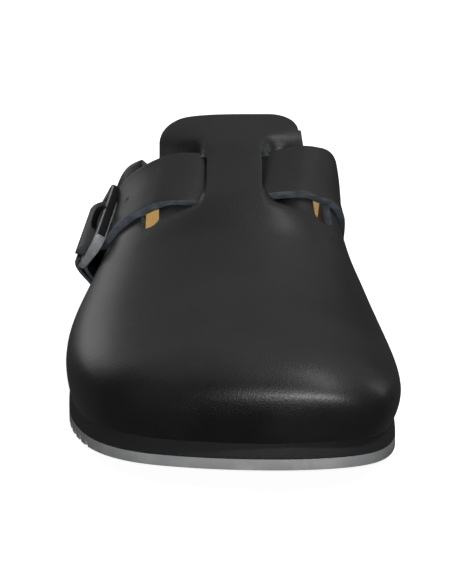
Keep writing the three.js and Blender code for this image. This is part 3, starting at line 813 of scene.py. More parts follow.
@dataclass(frozen=True)
class SoleShape:
    """The sole's outline, side and footbed surface, in millimetres."""

    length: float = 282.0
    ball_width: float = 107.0
    toe_spring: float = 10.0
    spring_length: float = 95.0
    heel_rim: float = 30.0
    cup_depth: float = 12.5
    arch_rise: float = 5.0
    arch_centre: float = 0.6
    arch_spread: float = 0.12
    gap: float = 0.3

    def spring(self, run: np.ndarray) -> np.ndarray:
        """Height of the tread over the floor, by distance from the toe."""
        return self.toe_spring * np.maximum(0, 1 - run / self.spring_length) ** 2

    def rim(self, run: np.ndarray) -> np.ndarray:
        """Height of the sole's top edge, by distance from the toe."""
        return self.spring(run) + self.heel_rim * SIDE.at("rim", run / self.length)

    def above_rim(self, points: np.ndarray, clearance: float = 0.0) -> np.ndarray:
        """Heights of points over the sole's top edge and a clearance."""
        return points[:, 2] - self.rim(np.maximum(points[:, 1] + self.length / 2, 0)) - clearance

    def outline(self, side: Side, turn: np.ndarray) -> np.ndarray:
        """Points of the outline, turn 0 at the toe and pi at the heel, as X and distance from the toe."""
        along = (1 - np.cos(turn)) / 2
        return np.stack([self.ball_width * OUTLINE.at(side.value, along), self.length * along], -1)

    def edge(self, side: Side, turn: np.ndarray, inset: np.ndarray) -> np.ndarray:
        """Points of the outline moved in by an inset."""
        step = 0.01
        run = self.outline(side, np.minimum(turn + step, math.pi))
        run = run - self.outline(side, np.maximum(turn - step, 0))
        inward = unit(np.stack([run[..., 1], -run[..., 0]], -1)) * -side.sign
        return self.outline(side, turn) + inward * inset[..., None]

    def footbed(self, x: np.ndarray, run: np.ndarray) -> np.ndarray:
        """Height of the shaped surface that the lining lies on."""
        along = np.clip(run / self.length, 0, 1)
        outer = self.ball_width * OUTLINE.at("outer", along)
        inner = self.ball_width * OUTLINE.at("inner", along)
        half = np.maximum((inner - outer) / 2, 1)
        across = np.clip((x - (inner + outer) / 2) / half, -1, 1)
        depth = self.cup_depth * np.maximum(0, SIDE.at("cup", along))
        place = (along - self.arch_centre) / self.arch_spread
        arch = np.exp(-place * place) * across**2 * (1 - across**4)
        arch = np.where(across > 0, self.arch_rise * arch, 0)
        return self.rim(run) - depth * (1 - np.abs(across) ** 2.6) + arch

    def layer(
        self,
        name: str,
        bottom: Callable[[np.ndarray, np.ndarray], np.ndarray],
        top: Callable[[np.ndarray, np.ndarray], np.ndarray],
        bottom_inset: Callable[[np.ndarray], np.ndarray],
        top_inset: Callable[[np.ndarray], np.ndarray],
    ) -> bpy.types.Object:
        """Shape a block into a layer of the sole.

        Args:
            name: The piece's name.
            bottom: Height of its underside by X and distance from the toe.
            top: Height of its upper side.
            bottom_inset: How far the lower edge lies inside the outline, by distance from the toe.
            top_inset: The same for the upper edge.

        Returns:
            The layer.
        """
        end_turn = 0.016

        def shape(p: np.ndarray) -> np.ndarray:
            turn = end_turn + (math.pi - 2 * end_turn) * p[:, 1]
            run = self.length * (1 - np.cos(turn)) / 2
            share = ((1 - np.cos(math.pi * p[:, 0])) / 2)[:, None]
            places = []
            for surface, inset in ((bottom, bottom_inset), (top, top_inset)):
                outer = self.edge(Side.OUTER, turn, inset(run))
                inner = self.edge(Side.INNER, turn, inset(run))
                plan = outer * (1 - share) + inner * share
                height = surface(plan[:, 0], plan[:, 1])
                places.append(np.column_stack([plan[:, 0], plan[:, 1] - self.length / 2, height]))
            upper = p[:, 2:3]
            return places[0] * (1 - upper) + places[1] * upper

        piece = block(name, 30, 170)
        reshape(piece, shape)
        weld(piece)
        face_out(piece)
        return piece


@dataclass(frozen=True)
class FootShape:
    """The last's surface under the leather, and the strap's path round it."""

    sole: SoleShape = SoleShape()
    tongue_height: float = 82.0
    toe_overhang: float = 2.0
    reach: float = 228.0
    bridge_centre: float = 1.0
    bridge_edge: float = 9.2
    slot_width: float = 4.6
    bridge_rise: float = 2.4
    flank_press: float = 2.0
    press_reach: float = 9.0
    relief_fade: float = 8.0
    bridge_fade: float = 22.0
    strap_centre: float = 119.0
    strap_width: float = 26.5
    strap_sweep: float = 0.26
    sweep_start: float = 28.0

    @property
    def slot_edge(self) -> float:
        """Distance of a slot's outer edge from the middle of the bridge."""
        return self.bridge_edge + self.slot_width

    @property
    def press_end(self) -> float:
        """Distance from the bridge at which the strap no longer presses the leather down."""
        return self.slot_edge + self.press_reach

    def surface(self, run: np.ndarray, turn: np.ndarray) -> np.ndarray:
        """Points of the last.

        Args:
            run: Distances from the toe of the sole.
            turn: 0 at the widest point of the inner side, a quarter turn at the crest.

        Returns:
            The points, as rows.
        """
        ball = self.sole.ball_width
        along = (run + self.toe_overhang) / self.sole.length
        on_inner = np.cos(turn) > 0
        above = np.sin(turn) >= 0

        def by_side(table: Table, inner: str, outer: str) -> np.ndarray:
            return np.where(on_inner, table.at(inner, along), table.at(outer, along))

        crest = ball * LAST.at("crest", along)
        edge = ball * by_side(LAST, "inner", "outer")
        waist = self.tongue_height * LAST.at("waist", along)
        full = np.where(above, by_side(FLANKS, "inner", "outer"), 2.0)
        lean = np.where(above, by_side(FLANKS, "inner_lean", "outer_lean"), 0.0)
        under = self.tongue_height * LAST.at("under", along) * (1.25 - 0.25 * np.cos(turn))
        rise = np.where(above, self.tongue_height * LAST.at("top", along) - waist, under)
        reach = (np.abs(np.cos(turn)) ** full + np.abs(np.sin(turn)) ** full) ** (-1 / full)
        height = np.sin(turn) * reach
        x = crest + np.abs(edge - crest) * np.cos(turn) * reach * (1 - lean * height)
        return np.stack([x, run - self.sole.length / 2, waist + rise * height], -1)

    def normal(self, run: np.ndarray, turn: np.ndarray) -> np.ndarray:
        """Outward directions at points of the last."""
        step = 0.05
        behind = np.maximum(run - step, -self.toe_overhang + step / 2)
        along = self.surface(run + step, turn) - self.surface(behind, turn)
        around = self.surface(run, turn + step / 5) - self.surface(run, turn - step / 5)
        return -unit(np.cross(around, along))

    @property
    def origin(self) -> np.ndarray:
        """The crest at the middle of the strap."""
        return self.surface(np.array([self.strap_centre]), np.array([math.pi / 2]))[0]

    @property
    def ridge(self) -> np.ndarray:
        """Direction up the instep along the crest."""
        step = 12
        ends = self.surface(self.strap_centre + np.array([step, -step]), np.full(2, math.pi / 2))
        return unit((ends[0] - ends[1]) * np.array([0, 1, 1]))

    def up_ridge(self, points: np.ndarray) -> np.ndarray:
        """Distances of points up the ridge from the middle of the strap."""
        return (points - self.origin) @ self.ridge

    def relief(self, points: np.ndarray) -> np.ndarray:
        """How far the bridge stands up over the strap, and how far the strap presses beside it."""
        beside = np.abs(points[:, 0] - self.bridge_centre)
        beyond = np.abs(self.up_ridge(points)) - self.strap_width / 2
        off_bridge = smoothstep(beside, self.bridge_edge, self.slot_edge)
        spread = self.slot_edge + 1.5 * np.maximum(beyond, 0)
        rise = self.bridge_rise * (1 - smoothstep(beside, self.bridge_edge, spread))
        press = self.flank_press * off_bridge * (1 - smoothstep(beside, self.slot_edge, self.press_end))
        rise = rise * (1 - smoothstep(beyond, 0, self.bridge_fade))
        return rise - press * (1 - smoothstep(beyond, 0, self.relief_fade))

    def run_on_strap(self, turn: np.ndarray, across: np.ndarray) -> np.ndarray:
        """Distances from the toe at which a line round the foot crosses the strap."""
        near = np.full(np.shape(turn), 40.0)
        far = np.full(np.shape(turn), self.reach)
        for _ in range(30):
            middle = (near + far) / 2
            below = self.up_ridge(self.surface(middle, turn)) < across
            near = np.where(below, middle, near)
            far = np.where(below, far, middle)
        return (near + far) / 2

    def girth(self) -> tuple[np.ndarray, np.ndarray]:
        """Walk round the strap's middle line.

        Returns:
            Turns of the last, and the distances from the bridge that belong to them.
        """
        turns = np.linspace(-0.9, math.pi + 0.9, 241)
        points = self.surface(self.run_on_strap(turns, np.zeros(241)), turns)
        steps = np.linalg.norm(np.diff(points, axis=0), axis=1)
        distances = np.concatenate([[0], np.cumsum(steps)])
        crossed = (points[1:, 0] <= self.bridge_centre) & (points[:-1, 0] > self.bridge_centre)
        return turns, distances - distances[np.argmax(crossed) + 1]

    def on_strap(self, distance: np.ndarray, across: np.ndarray, lift: np.ndarray) -> np.ndarray:
        """Points in the strap's own space.

        Args:
            distance: Distances round the foot from the bridge, positive on the outer side.
            across: Distances up the ridge from the strap's middle line.
            lift: Heights over the last.

        Returns:
            The points, as rows.
        """
        turns, distances = self.girth()
        turn = np.interp(distance, distances, turns)
        sweep = self.strap_sweep * np.maximum(0, -distance - self.sweep_start)
        run = self.run_on_strap(turn, across + sweep)
        return self.surface(run, turn) + self.normal(run, turn) * np.asarray(lift)[..., None]


# Sub-assemblies


@dataclass
class Sole:
    """Outsole, midsole and footbed lining."""

    shape: SoleShape = field(default_factory=SoleShape)
    outsole_thickness: float = 3.6
    side_flare: float = 0.7
    lining: float = 2.4
    lining_inset: float = 6.4
    lining_inset_at_heel: float = 0.9
    wing_rear_foot: float = 207.0
    groove_width: float = 2.4
    groove_depth: float = 1.8
    groove_pitch: float = 7.0
    groove_margin: float = 9.0
    forefoot_start: float = 40.0
    forefoot_grooves: int = 11
    heel_start: float = 206.0
    heel_grooves: int = 8

    def build(self) -> None:
        """Make the three layers."""
        self.make_outsole()
        self.make_midsole()
        self.make_footbed()

    def make_outsole(self) -> None:
        """Grey rubber with cross grooves that run out at the outer side."""
        shape = self.shape
        piece = shape.layer(
            "outsole_tread",
            lambda x, run: shape.spring(run),
            lambda x, run: shape.spring(run) + self.outsole_thickness,
            np.zeros_like,
            np.zeros_like,
        )
        soften(piece, 0.45)
        cutter = self.make_grooves()
        modify(piece, "BOOLEAN", operation="DIFFERENCE", object=cutter, solver="EXACT")
        bpy.data.objects.remove(cutter)
        smooth(piece, 32)
        dress(piece, Rubber())
        finished(piece, "outsole")

    def make_grooves(self) -> bpy.types.Object:
        """Bars that cut the grooves of both tread fields."""
        shape = self.shape
        starts = [(self.forefoot_start, self.forefoot_grooves), (self.heel_start, self.heel_grooves)]
        bars = []
        for start, count in starts:
            for run in start + self.groove_pitch * np.arange(count):
                inner = shape.ball_width * float(OUTLINE.at("inner", np.array([run / shape.length]))[0])
                end = inner - self.groove_margin
                reach = end + shape.ball_width
                height = float(shape.spring(np.array([run]))[0])
                place = Vector((end - reach / 2, run - shape.length / 2, height)) * MM
                bar = added("groove_bar", bpy.ops.mesh.primitive_cube_add, size=1, location=place)
                bar.scale = Vector((reach, self.groove_width, 2 * self.groove_depth)) * MM
                bars.append(bar)
        for bar in bars:
            bar.select_set(True)
        bpy.ops.object.join()
        bpy.ops.object.transform_apply(location=True, rotation=True, scale=True)
        return bpy.context.object

    def make_midsole(self) -> None:
        """Black foam body with a cupped top."""
        shape = self.shape
        low = self.outsole_thickness + shape.gap
        piece = shape.layer(
            "midsole_body",
            lambda x, run: shape.spring(run) + low,
            shape.footbed,
            np.zeros_like,
            lambda run: np.full_like(run, self.side_flare),
        )
        dress(piece, Foam(), FoamRimHighlight())
        # The rim's bevel faces take the painted highlight, a light line along the edge.
        soften(piece, 0.6, 3, slot=1)
        smooth(piece)
        finished(piece, "midsole")

    def make_footbed(self) -> None:
        """Tan lining inside the leather, out to the edge behind the wings."""
        shape = self.shape

        def inset(run: np.ndarray) -> np.ndarray:
            blend = smoothstep(run, self.wing_rear_foot + 2, self.wing_rear_foot + 22)
            return self.lining_inset * (1 - blend) + self.lining_inset_at_heel * blend

        piece = shape.layer(
            "footbed_lining",
            lambda x, run: shape.footbed(x, run) + shape.gap,
            lambda x, run: shape.footbed(x, run) + shape.gap + self.lining,
            inset,
            lambda run: inset(run) + self.lining / 3,
        )
        soften(piece, 0.7, 3)
        smooth(piece)
        dress(piece, Suede())
        finished(piece, "footbed")


@dataclass
class Upper:
    """One piece of leather with tongue, slits, strap slots and wings."""

    foot: FootShape = field(default_factory=FootShape)
    wall: float = 2.6
    toe_round: float = 30.0
    slit_start: float = 99.0
    tongue_left: float = -24.6
    tongue_right: float = 22.8
    tongue_end: float = 151.0
    tongue_corner: float = 10.0
    outer_slit: float = 5.8
    inner_slit: float = 5.6
    outer_splay: float = -0.6
    inner_splay: float = 5.0
    slot_spare: float = -1.4
    slot_forward: float = 0.6
    slot_corner: float = 0.8
    wing_rear_top: float = 143.0
    wing_rear_foot: float = 207.0
    wing_top: float = 67.0
    under_turn: float = 0.62
    crease_run: float = 133.5
    crease_height: float = 0.15
    crease_half_width: float = 3.2
    crease_half_length: float = 2.4
    swell_distance: float = 50.0
    swell_front: float = -4.0
    swell_rear: float = 9.0
    swell_height: float = 1.6
    swell_reach: float = 4.5

    def build(self) -> None:
        """Make and dress the upper."""
        piece = self.make_sheet()
        dress(piece, Leather(), CutEdge(), FleshSide())
        for level in (
            self.foot.sole.above_rim,
            lambda p: self.off_slit(p, Side.OUTER),
            lambda p: self.off_slit(p, Side.INNER),
            self.before_rear_edge,
            lambda p: self.off_slot(p, Side.OUTER),
            lambda p: self.off_slot(p, Side.INNER),
        ):
            trim(piece, level)
        weld(piece, 0.12)
        modify(
            piece,
            "SOLIDIFY",
            thickness=self.wall * MM,
            offset=-1,
            material_offset=2,
            material_offset_rim=1,
        )
        soften(piece, 0.5, slot=1)
        smooth(piece, 35)
        finished(piece, "upper")

    def make_sheet(self) -> bpy.types.Object:
        """The leather's outer surface before it is cut."""
        foot = self.foot
        total = (foot.reach + foot.toe_overhang) / self.toe_round
        stretch = math.sqrt((total + 1) ** 2 - 1)

        def shape(p: np.ndarray) -> np.ndarray:
            run = self.toe_round * (np.sqrt(1 + (stretch * p[:, 1]) ** 2) - 1) - foot.toe_overhang
            run = np.maximum(run, 1e-7 - foot.toe_overhang)
            at_toe = 1 - smoothstep(run, 2, 16)
            past = self.under_turn + (math.pi / 2 - self.under_turn) * at_toe
            turn = -past + (math.pi + 2 * past) * p[:, 0]
            points = foot.surface(run, turn)
            lift = foot.relief(points) + self.creases(points)
            return points + foot.normal(run, turn) * lift[:, None]

        piece = sheet("upper_shell", 176, 196)
        reshape(piece, shape)
        weld(piece)
        face_along(piece, Vector((0, 0, 1)))
        return piece

    def creases(self, points: np.ndarray) -> np.ndarray:
        """Soft pulls at the bridge, and the swell under the buckle, in millimetres."""
        run = points[:, 1] + self.foot.sole.length / 2
        lift = np.zeros(len(points))
        for side in Side:
            corner = self.foot.bridge_centre + side.sign * self.foot.bridge_edge
            aside = (points[:, 0] - corner) / self.crease_half_width
            beyond = (run - self.crease_run) / self.crease_half_length
            lift += self.crease_height * np.exp(-(aside**2 + beyond**2))
        ends = np.array([self.swell_front, self.swell_rear])
        front, rear = self.foot.on_strap(np.full(2, self.swell_distance), ends, np.zeros(2))
        line = rear - front
        share = np.clip((points - front) @ line / (line @ line), 0, 1)
        away = np.linalg.norm(points - front - share[:, None] * line, axis=1)
        return lift + self.swell_height * np.exp(-((away / self.swell_reach) ** 2))

    def off_slit(self, p: np.ndarray, side: Side) -> np.ndarray:
        """Distance in plan from the slit beside the tongue."""
        run = p[:, 1] + self.foot.sole.length / 2
        edge, width, splay = (
            (self.tongue_left, self.outer_slit, -self.outer_splay)
            if side is Side.OUTER
            else (self.tongue_right, self.inner_slit, self.inner_splay)
        )
        front = self.slit_start + width / 2
        held = np.maximum(run, front)
        share = (self.tongue_end - held) / (self.tongue_end - self.slit_start)
        middle = edge + side.sign * width / 2 + splay * share
        return np.hypot(p[:, 0] - middle, np.minimum(run - front, 0)) - width / 2

    def before_rear_edge(self, p: np.ndarray) -> np.ndarray:
        """Above zero in front of the tongue's round end and the wings' rear edges."""
        run = p[:, 1] + self.foot.sole.length / 2
        half = (self.tongue_right - self.tongue_left) / 2
        middle = (self.tongue_right + self.tongue_left) / 2
        aside = np.maximum(np.abs(p[:, 0] - middle) - half + self.tongue_corner, 0)
        beyond = np.maximum(run - self.tongue_end + self.tongue_corner, 0)
        on_tongue = np.where(beyond > 0, self.tongue_corner - np.hypot(aside, beyond), self.tongue_corner)
        in_strip = (p[:, 0] > self.tongue_left - self.outer_slit / 2) & (
            p[:, 0] < self.tongue_right + self.inner_slit / 2
        )
        drop = (self.wing_top - p[:, 2]) / (self.wing_top - self.foot.sole.heel_rim)
        rear = self.wing_rear_top + (self.wing_rear_foot - self.wing_rear_top) * WING_REAR.at("run", drop)
        return np.where(in_strip & (p[:, 2] > self.foot.sole.heel_rim), on_tongue, rear - run)

    def off_slot(self, p: np.ndarray, side: Side) -> np.ndarray:
        """Distance in plan from the strap slot on one side of the bridge."""
        foot = self.foot
        run = p[:, 1] + foot.sole.length / 2
        middle = foot.bridge_centre + side.sign * (foot.bridge_edge + foot.slot_edge) / 2
        half_run = (foot.strap_width / 2 + self.slot_spare) * foot.ridge[1]
        run = run + self.slot_forward
        aside = np.abs(p[:, 0] - middle) - foot.slot_width / 2 + self.slot_corner
        along = np.abs(run - foot.strap_centre) - half_run + self.slot_corner
        outside = np.hypot(np.maximum(aside, 0), np.maximum(along, 0))
        return outside + np.minimum(np.maximum(aside, along), 0) - self.slot_corner


@dataclass
class StrapAndBuckle:
    """The strap, and the pin buckle on its folded tab."""

    foot: FootShape = field(default_factory=FootShape)
    wall: float = 2.6
    thickness: float = 2.8
    tip_run: float = 3.0
    tip_narrowing: float = 0.2
    strap_sink: float = 0.4
    blend_length: float = 7.0
    bar_probe: float = 15.0
    hole_radius: float = 1.2
    hole_before_bar: float = 7.8
    near_bar: float = 45.0
    frame_length: float = 15.0
    frame_width: float = 38.0
    frame_corner: float = 4.0
    frame_lean: float = 0.075
    frame_press: float = 2.1
    frame_swing: float = 20.0
    bar_half_width: float = 1.2
    near_half_depth: float = 1.9
    far_half_depth: float = 1.0
    tab_thickness: float = 1.2
    tab_width: float = 24.0
    tab_notch: float = 6.0
    tail_length: float = 0.8
    tail_back: float = 2.0
    tail_lift: float = 0.9
    tail_droop: float = 0.5
    prong_radius: float = 1.05
    knuckle_width: float = 4.0
    inner_end: float = -86.0
    outer_end: float = 84.0

    def __post_init__(self) -> None:
        """Work out the heights that follow from the sizes."""
        gap = self.foot.sole.gap
        self.gap = gap
        self.far_bar = self.near_bar + self.frame_length - 2 * self.bar_half_width
        self.loop_inner = math.hypot(self.bar_half_width, self.far_half_depth / 2) + gap
        self.loop_outer = self.loop_inner + self.tab_thickness
        self.far_lift = gap + self.loop_outer
        self.near_lift = gap + self.thickness + gap + self.near_half_depth
        self.strap_end = self.far_bar + self.tail_length
        slot, press = self.foot.slot_edge, self.foot.press_end
        bridge = self.foot.bridge_edge
        under = self.foot.bridge_rise - self.wall - 2 * gap - self.thickness
        rest = -self.strap_sink
        flank = rest - self.foot.flank_press + gap
        self.underside = Table(
            ("distance", "lift"),
            (
                (self.inner_end, rest),
                (-press - 4, rest),
                (-press, rest),
                (-slot, flank),
                (-bridge, under),
                (-bridge + 4, under),
                (bridge - 4, under),
                (bridge, under),
                (slot, flank),
                (press, rest),
                (press + 4, rest),
                (self.near_bar, rest),
                (self.strap_end, rest),
            ),
            plain,
        )
        bars = self.frame_length - 2 * self.bar_half_width
        self.through_frame = Table(
            ("beyond", "lift"),
            (
                (-20.0, -5.6),
                (0.0, -5.6),
                (4.0, -4.8),
                (bars - 4, -0.9),
                (bars - 1, self.tail_lift),
                (bars + self.tail_length, self.tail_lift - self.tail_droop),
            ),
            plain,
        )

    def build(self) -> None:
        """Make the strap, tab, frame and prong."""
        self.make_strap()
        self.make_tab()
        self.make_frame()
        self.make_prong()

    def make_strap(self) -> None:
        """One leather strap, under the bridge and through the buckle."""

        def shape(p: np.ndarray) -> np.ndarray:
            distance = self.inner_end + (self.strap_end - self.inner_end) * p[:, 1]
            left = np.clip(1 - (self.strap_end - distance) / self.tip_run, 0, 1)
            kept = 1 - self.tip_narrowing + self.tip_narrowing * np.sqrt(1 - left * left)
            width = self.foot.strap_width * kept
            across = (p[:, 0] - 0.5) * width
            on_foot = self.foot.on_strap(distance, across, self.underside.at("lift", distance))
            x = distance - self.near_bar
            on_frame = near + x[:, None] * onward + (across + self.tail_back)[:, None] * aside
            on_frame += self.through_frame.at("lift", x)[:, None] * outward
            return on_foot + smoothstep(x, 0, self.blend_length)[:, None] * (on_frame - on_foot)

        near, onward, aside, outward = self.frame_axes()

        piece = sheet("strap_band", 26, 190)
        dress(piece, StrapLeather(), CutEdge())
        flat = self.flat_places(piece)
        distance = self.inner_end + (self.strap_end - self.inner_end) * flat[:, 1]
        hole = np.hypot(
            distance - self.near_bar + self.hole_before_bar,
            (flat[:, 0] - 0.5) * self.foot.strap_width,
        )
        reshape(piece, shape)
        trim(piece, lambda p: hole - self.hole_radius)
        trim(piece, lambda p: self.foot.sole.above_rim(p, self.gap))
        weld(piece, 0.1)
        face_along(piece, Vector((0, 0, 1)))
        modify(piece, "SOLIDIFY", thickness=self.thickness * MM, offset=1, material_offset_rim=1)
        soften(piece, 0.4, slot=1)
        smooth(piece, 35)
        finished(piece, "strap")

    @staticmethod
    def flat_places(piece: bpy.types.Object) -> np.ndarray:
        """A sheet's places before it is shaped."""
        return np.array([v.co for v in piece.data.vertices])

    def make_tab(self) -> None:
        """The tab, folded round the far bar."""
        legs = self.outer_end - self.far_bar
        around = (self.loop_inner + self.loop_outer) / 2 * 1.5 * math.pi
        inner = self.loop_inner

        def path(share: np.ndarray) -> tuple[np.ndarray, np.ndarray]:
            """Distance and lift of the leather's inner side, from foot to foot."""
            run = share * (2 * legs + around) - legs
            turn = 2 * math.pi - (np.clip(run / around, 0, 1) * 1.5 * math.pi + 0.75 * math.pi)
            leg = np.where(run < 0, -run, np.maximum(run - around, 0)) / legs
            side = np.where(share < 0.5, -1.0, 1.0)
            round_distance = self.far_bar - inner * np.cos(turn + math.pi)
            round_lift = self.far_lift + inner * np.sin(turn + math.pi)
            closing = smoothstep(leg, 0.0, 0.35)
            flat_lift = self.gap + self.tab_thickness + 0.02 * side
            leg_start = self.far_bar + inner * math.cos(0.25 * math.pi)
            distance = np.where(leg > 0, leg_start + leg * legs, round_distance)
            edge_lift = self.far_lift + side * inner * math.sin(0.25 * math.pi)
            lift = np.where(leg > 0, edge_lift * (1 - closing) + flat_lift * closing, round_lift)
            return distance, lift

        def shape(p: np.ndarray) -> np.ndarray:
            distance, lift = path(p[:, 1])
            across = (p[:, 0] - 0.5) * self.tab_width
            on_foot = self.foot.on_strap(distance, across, lift)
            x = distance - self.far_bar + self.frame_length - 2 * self.bar_half_width
            on_frame = near + x[:, None] * onward + across[:, None] * aside
            on_frame += (lift - self.far_lift)[:, None] * outward
            settled = smoothstep(distance, self.far_bar + self.loop_inner, self.far_bar + self.loop_inner + 8)
            return on_frame + settled[:, None] * (on_foot - on_frame)

        near, onward, aside, outward = self.frame_axes()
        piece = sheet("buckle_tab_fold", 24, 90)
        dress(piece, StrapLeather(), CutEdge())
        flat = self.flat_places(piece)
        notch = np.maximum(
            np.abs(flat[:, 0] - 0.5) * self.tab_width - self.tab_notch / 2,
            np.abs(flat[:, 1] - 0.5) * (2 * legs + around) - around / 2 - 1.0,
        )
        reshape(piece, shape)
        trim(piece, lambda p: notch)
        trim(piece, lambda p: self.foot.sole.above_rim(p, self.gap))
        modify(piece, "SOLIDIFY", thickness=self.tab_thickness * MM, offset=1, material_offset_rim=1)
        soften(piece, 0.25)
        smooth(piece, 35)
        finished(piece, "buckle_tab")

    def make_frame(self) -> None:
        """A bar that runs round a rectangle with round corners."""
        piece = added(
            "buckle_frame_bar",
            bpy.ops.mesh.primitive_torus_add,
            major_segments=120,
            minor_segments=20,
            major_radius=2,
            minor_radius=1,
        )
        # The second material paints the highlights on the bar's edges and the light on its face towards the
        # toe.
        dress(piece, BuckleMetal(), PaintedHighlightMetal())
        self.paint_highlights(piece)
        half_length = self.frame_length / 2 - self.bar_half_width
        half_width = self.frame_width / 2 - self.bar_half_width
        near, onward, aside, outward = self.frame_axes()

        def shape(p: np.ndarray) -> np.ndarray:
            angle = np.arctan2(p[:, 1], p[:, 0])
            out = np.hypot(p[:, 0], p[:, 1]) - 2
            up = p[:, 2]
            square = (np.abs(out) ** 6 + np.abs(up) ** 6) ** (1 / 6)
            out, up = out / square, up / square
            length, width = half_length - self.frame_corner, half_width - self.frame_corner
            x, y, out_x, out_y = self.round_corner_path(angle, length, width)
            share = np.clip((x + half_length) / (2 * half_length), 0, 1)
            depth = self.near_half_depth + (self.far_half_depth - self.near_half_depth) * share
            x = x + half_length + out_x * out * self.bar_half_width
            y = y + out_y * out * self.bar_half_width
            return near + x[:, None] * onward + y[:, None] * aside + (up * depth)[:, None] * outward

        reshape(piece, shape)
        face_out(piece)
        smooth(piece, 35)
        finished(piece, "buckle_frame")

    def paint_highlights(self, ring: bpy.types.Object) -> None:
        """Give the corners of the bar's section painted highlights, and its face towards the toe painted
        light, in the lighter material.
        """
        for face in ring.data.polygons:
            x, y, up = face.center
            out = math.hypot(x, y) - 2
            at_corner = abs(abs(out) - abs(up)) < 0.12
            on_front = out > 0.1 and abs(math.atan2(x, -y)) < 0.55
            face.material_index = int(at_corner or on_front)

    def frame_axes(self) -> tuple[np.ndarray, np.ndarray, np.ndarray, np.ndarray]:
        """Middle of the near bar, and the directions along, across and out of the buckle."""
        distance = np.array([self.near_bar, self.near_bar, self.far_bar, self.far_bar])
        across = self.bar_probe * np.array([-1, 1, -1, 1])
        lift = np.array([self.near_lift, self.near_lift, self.far_lift, self.far_lift])
        near_front, near_rear, far_front, far_rear = self.foot.on_strap(distance, across, lift)
        near = (near_front + near_rear) / 2
        onward = unit((far_front + far_rear) / 2 - near)
        aside = near_rear - near_front + far_rear - far_front
        aside = unit(aside) + np.array([self.frame_lean, 0, 0])
        aside = unit(aside - (aside @ onward) * onward)
        outward = np.cross(aside, onward)
        outward = outward if outward[0] < 0 else -outward
        near = near - self.frame_press * outward
        swing = math.radians(self.frame_swing)
        swung = math.cos(swing) * onward + math.sin(swing) * outward
        return near, swung, aside, math.cos(swing) * outward - math.sin(swing) * onward

    def round_corner_path(
        self, angle: np.ndarray, length: float, width: float
    ) -> tuple[np.ndarray, np.ndarray, np.ndarray, np.ndarray]:
        """Points and outward directions round a rectangle with round corners.

        Args:
            angle: Turns from -pi to pi, spread evenly over the path's length.
            length: Half the straight length along the strap.
            width: Half the straight length across it.

        Returns:
            Two coordinates of the points and two of the outward directions.
        """
        corner = self.frame_corner
        arc = math.pi / 2 * corner
        pieces = [width, arc, 2 * length, arc, 2 * width, arc, 2 * length, arc, width]
        ends = np.cumsum(pieces)
        travel = (angle + math.pi) / (2 * math.pi) * ends[-1]
        x = np.zeros_like(travel)
        y = np.zeros_like(travel)
        turn = np.zeros_like(travel)
        starts = np.concatenate([[0], ends[:-1]])
        lines = {
            0: ((-length - corner, 0), (0, -1)),
            2: ((-length, -width - corner), (1, 0)),
            4: ((length + corner, -width), (0, 1)),
            6: ((length, width + corner), (-1, 0)),
            8: ((-length - corner, width), (0, -1)),
        }
        arcs = {
            1: ((-length, -width), math.pi),
            3: ((length, -width), 1.5 * math.pi),
            5: ((length, width), 0.0),
            7: ((-length, width), 0.5 * math.pi),
        }
        for i in range(9):
            on = (travel >= starts[i]) & (travel <= ends[i])
            run = travel - starts[i]
            if i in lines:
                (x0, y0), (dx, dy) = lines[i]
                x = np.where(on, x0 + dx * run, x)
                y = np.where(on, y0 + dy * run, y)
                turn = np.where(on, math.atan2(-dx, dy), turn)
            else:
                (x0, y0), first = arcs[i]
                at = first + run / corner
                x = np.where(on, x0 + corner * np.cos(at), x)
                y = np.where(on, y0 + corner * np.sin(at), y)
                turn = np.where(on, at, turn)
        return x, y, np.cos(turn), np.sin(turn)

    def make_prong(self) -> None:
        """The prong, from its knuckle on the far bar to its tip on the near bar."""
        over = self.near_half_depth + self.gap + self.prong_radius
        half = (self.near_bar + self.far_bar) / 2
        path = np.array(
            [
                (self.near_bar - 2.2, over - 0.9),
                (self.near_bar, over),
                (self.near_bar + 3.0, over - 0.3),
                (half, over / 2 + 0.4),
                (self.far_bar - 4.2, 0.6),
                (self.far_bar - self.loop_inner - 0.4, 0.0),
            ]
        )
        share = np.linspace(0, 1, len(path))
        curve = Table(("share", "distance", "lift"), tuple(zip(share, path[:, 0], path[:, 1])), plain)
        piece = added("buckle_prong_pin", bpy.ops.mesh.primitive_cylinder_add, vertices=20, radius=1, depth=1)
        edit(piece, lambda: bpy.ops.mesh.subdivide(number_cuts=24))

        def shape(p: np.ndarray) -> np.ndarray:
            along = p[:, 2] + 0.5
            taper = np.minimum(1.0, 0.72 + 2.2 * along) * self.prong_radius
            x = curve.at("distance", along) - self.near_bar
            lift = curve.at("lift", along) + p[:, 1] * taper
            return near + x[:, None] * onward + (p[:, 0] * taper)[:, None] * aside + lift[:, None] * outward

        near, onward, aside, outward = self.frame_axes()
        reshape(piece, shape)
        knuckle = added(
            "buckle_prong_knuckle",
            bpy.ops.mesh.primitive_torus_add,
            major_segments=48,
            minor_segments=16,
            major_radius=2,
            minor_radius=1,
        )
        middle = (self.loop_inner + self.loop_outer - 0.4) / 2
        wall = (self.loop_outer - 0.4 - self.loop_inner) / 2

        def ring(p: np.ndarray) -> np.ndarray:
            angle = np.arctan2(p[:, 1], p[:, 0])
            out = middle + (np.hypot(p[:, 0], p[:, 1]) - 2) * wall
            x = self.far_bar - self.near_bar + out * np.cos(angle)
            aside_by = p[:, 2] * self.knuckle_width / 2
            lift = out * np.sin(angle)
            return near + x[:, None] * onward + aside_by[:, None] * aside + lift[:, None] * outward

        reshape(knuckle, ring)
        piece.select_set(True)
        knuckle.select_set(True)
        bpy.context.view_layer.objects.active = piece
        bpy.ops.object.join()
        face_out(piece)
        smooth(piece, 35)
        dress(piece, BuckleMetal())
        finished(piece, "buckle_prong")


# Studio


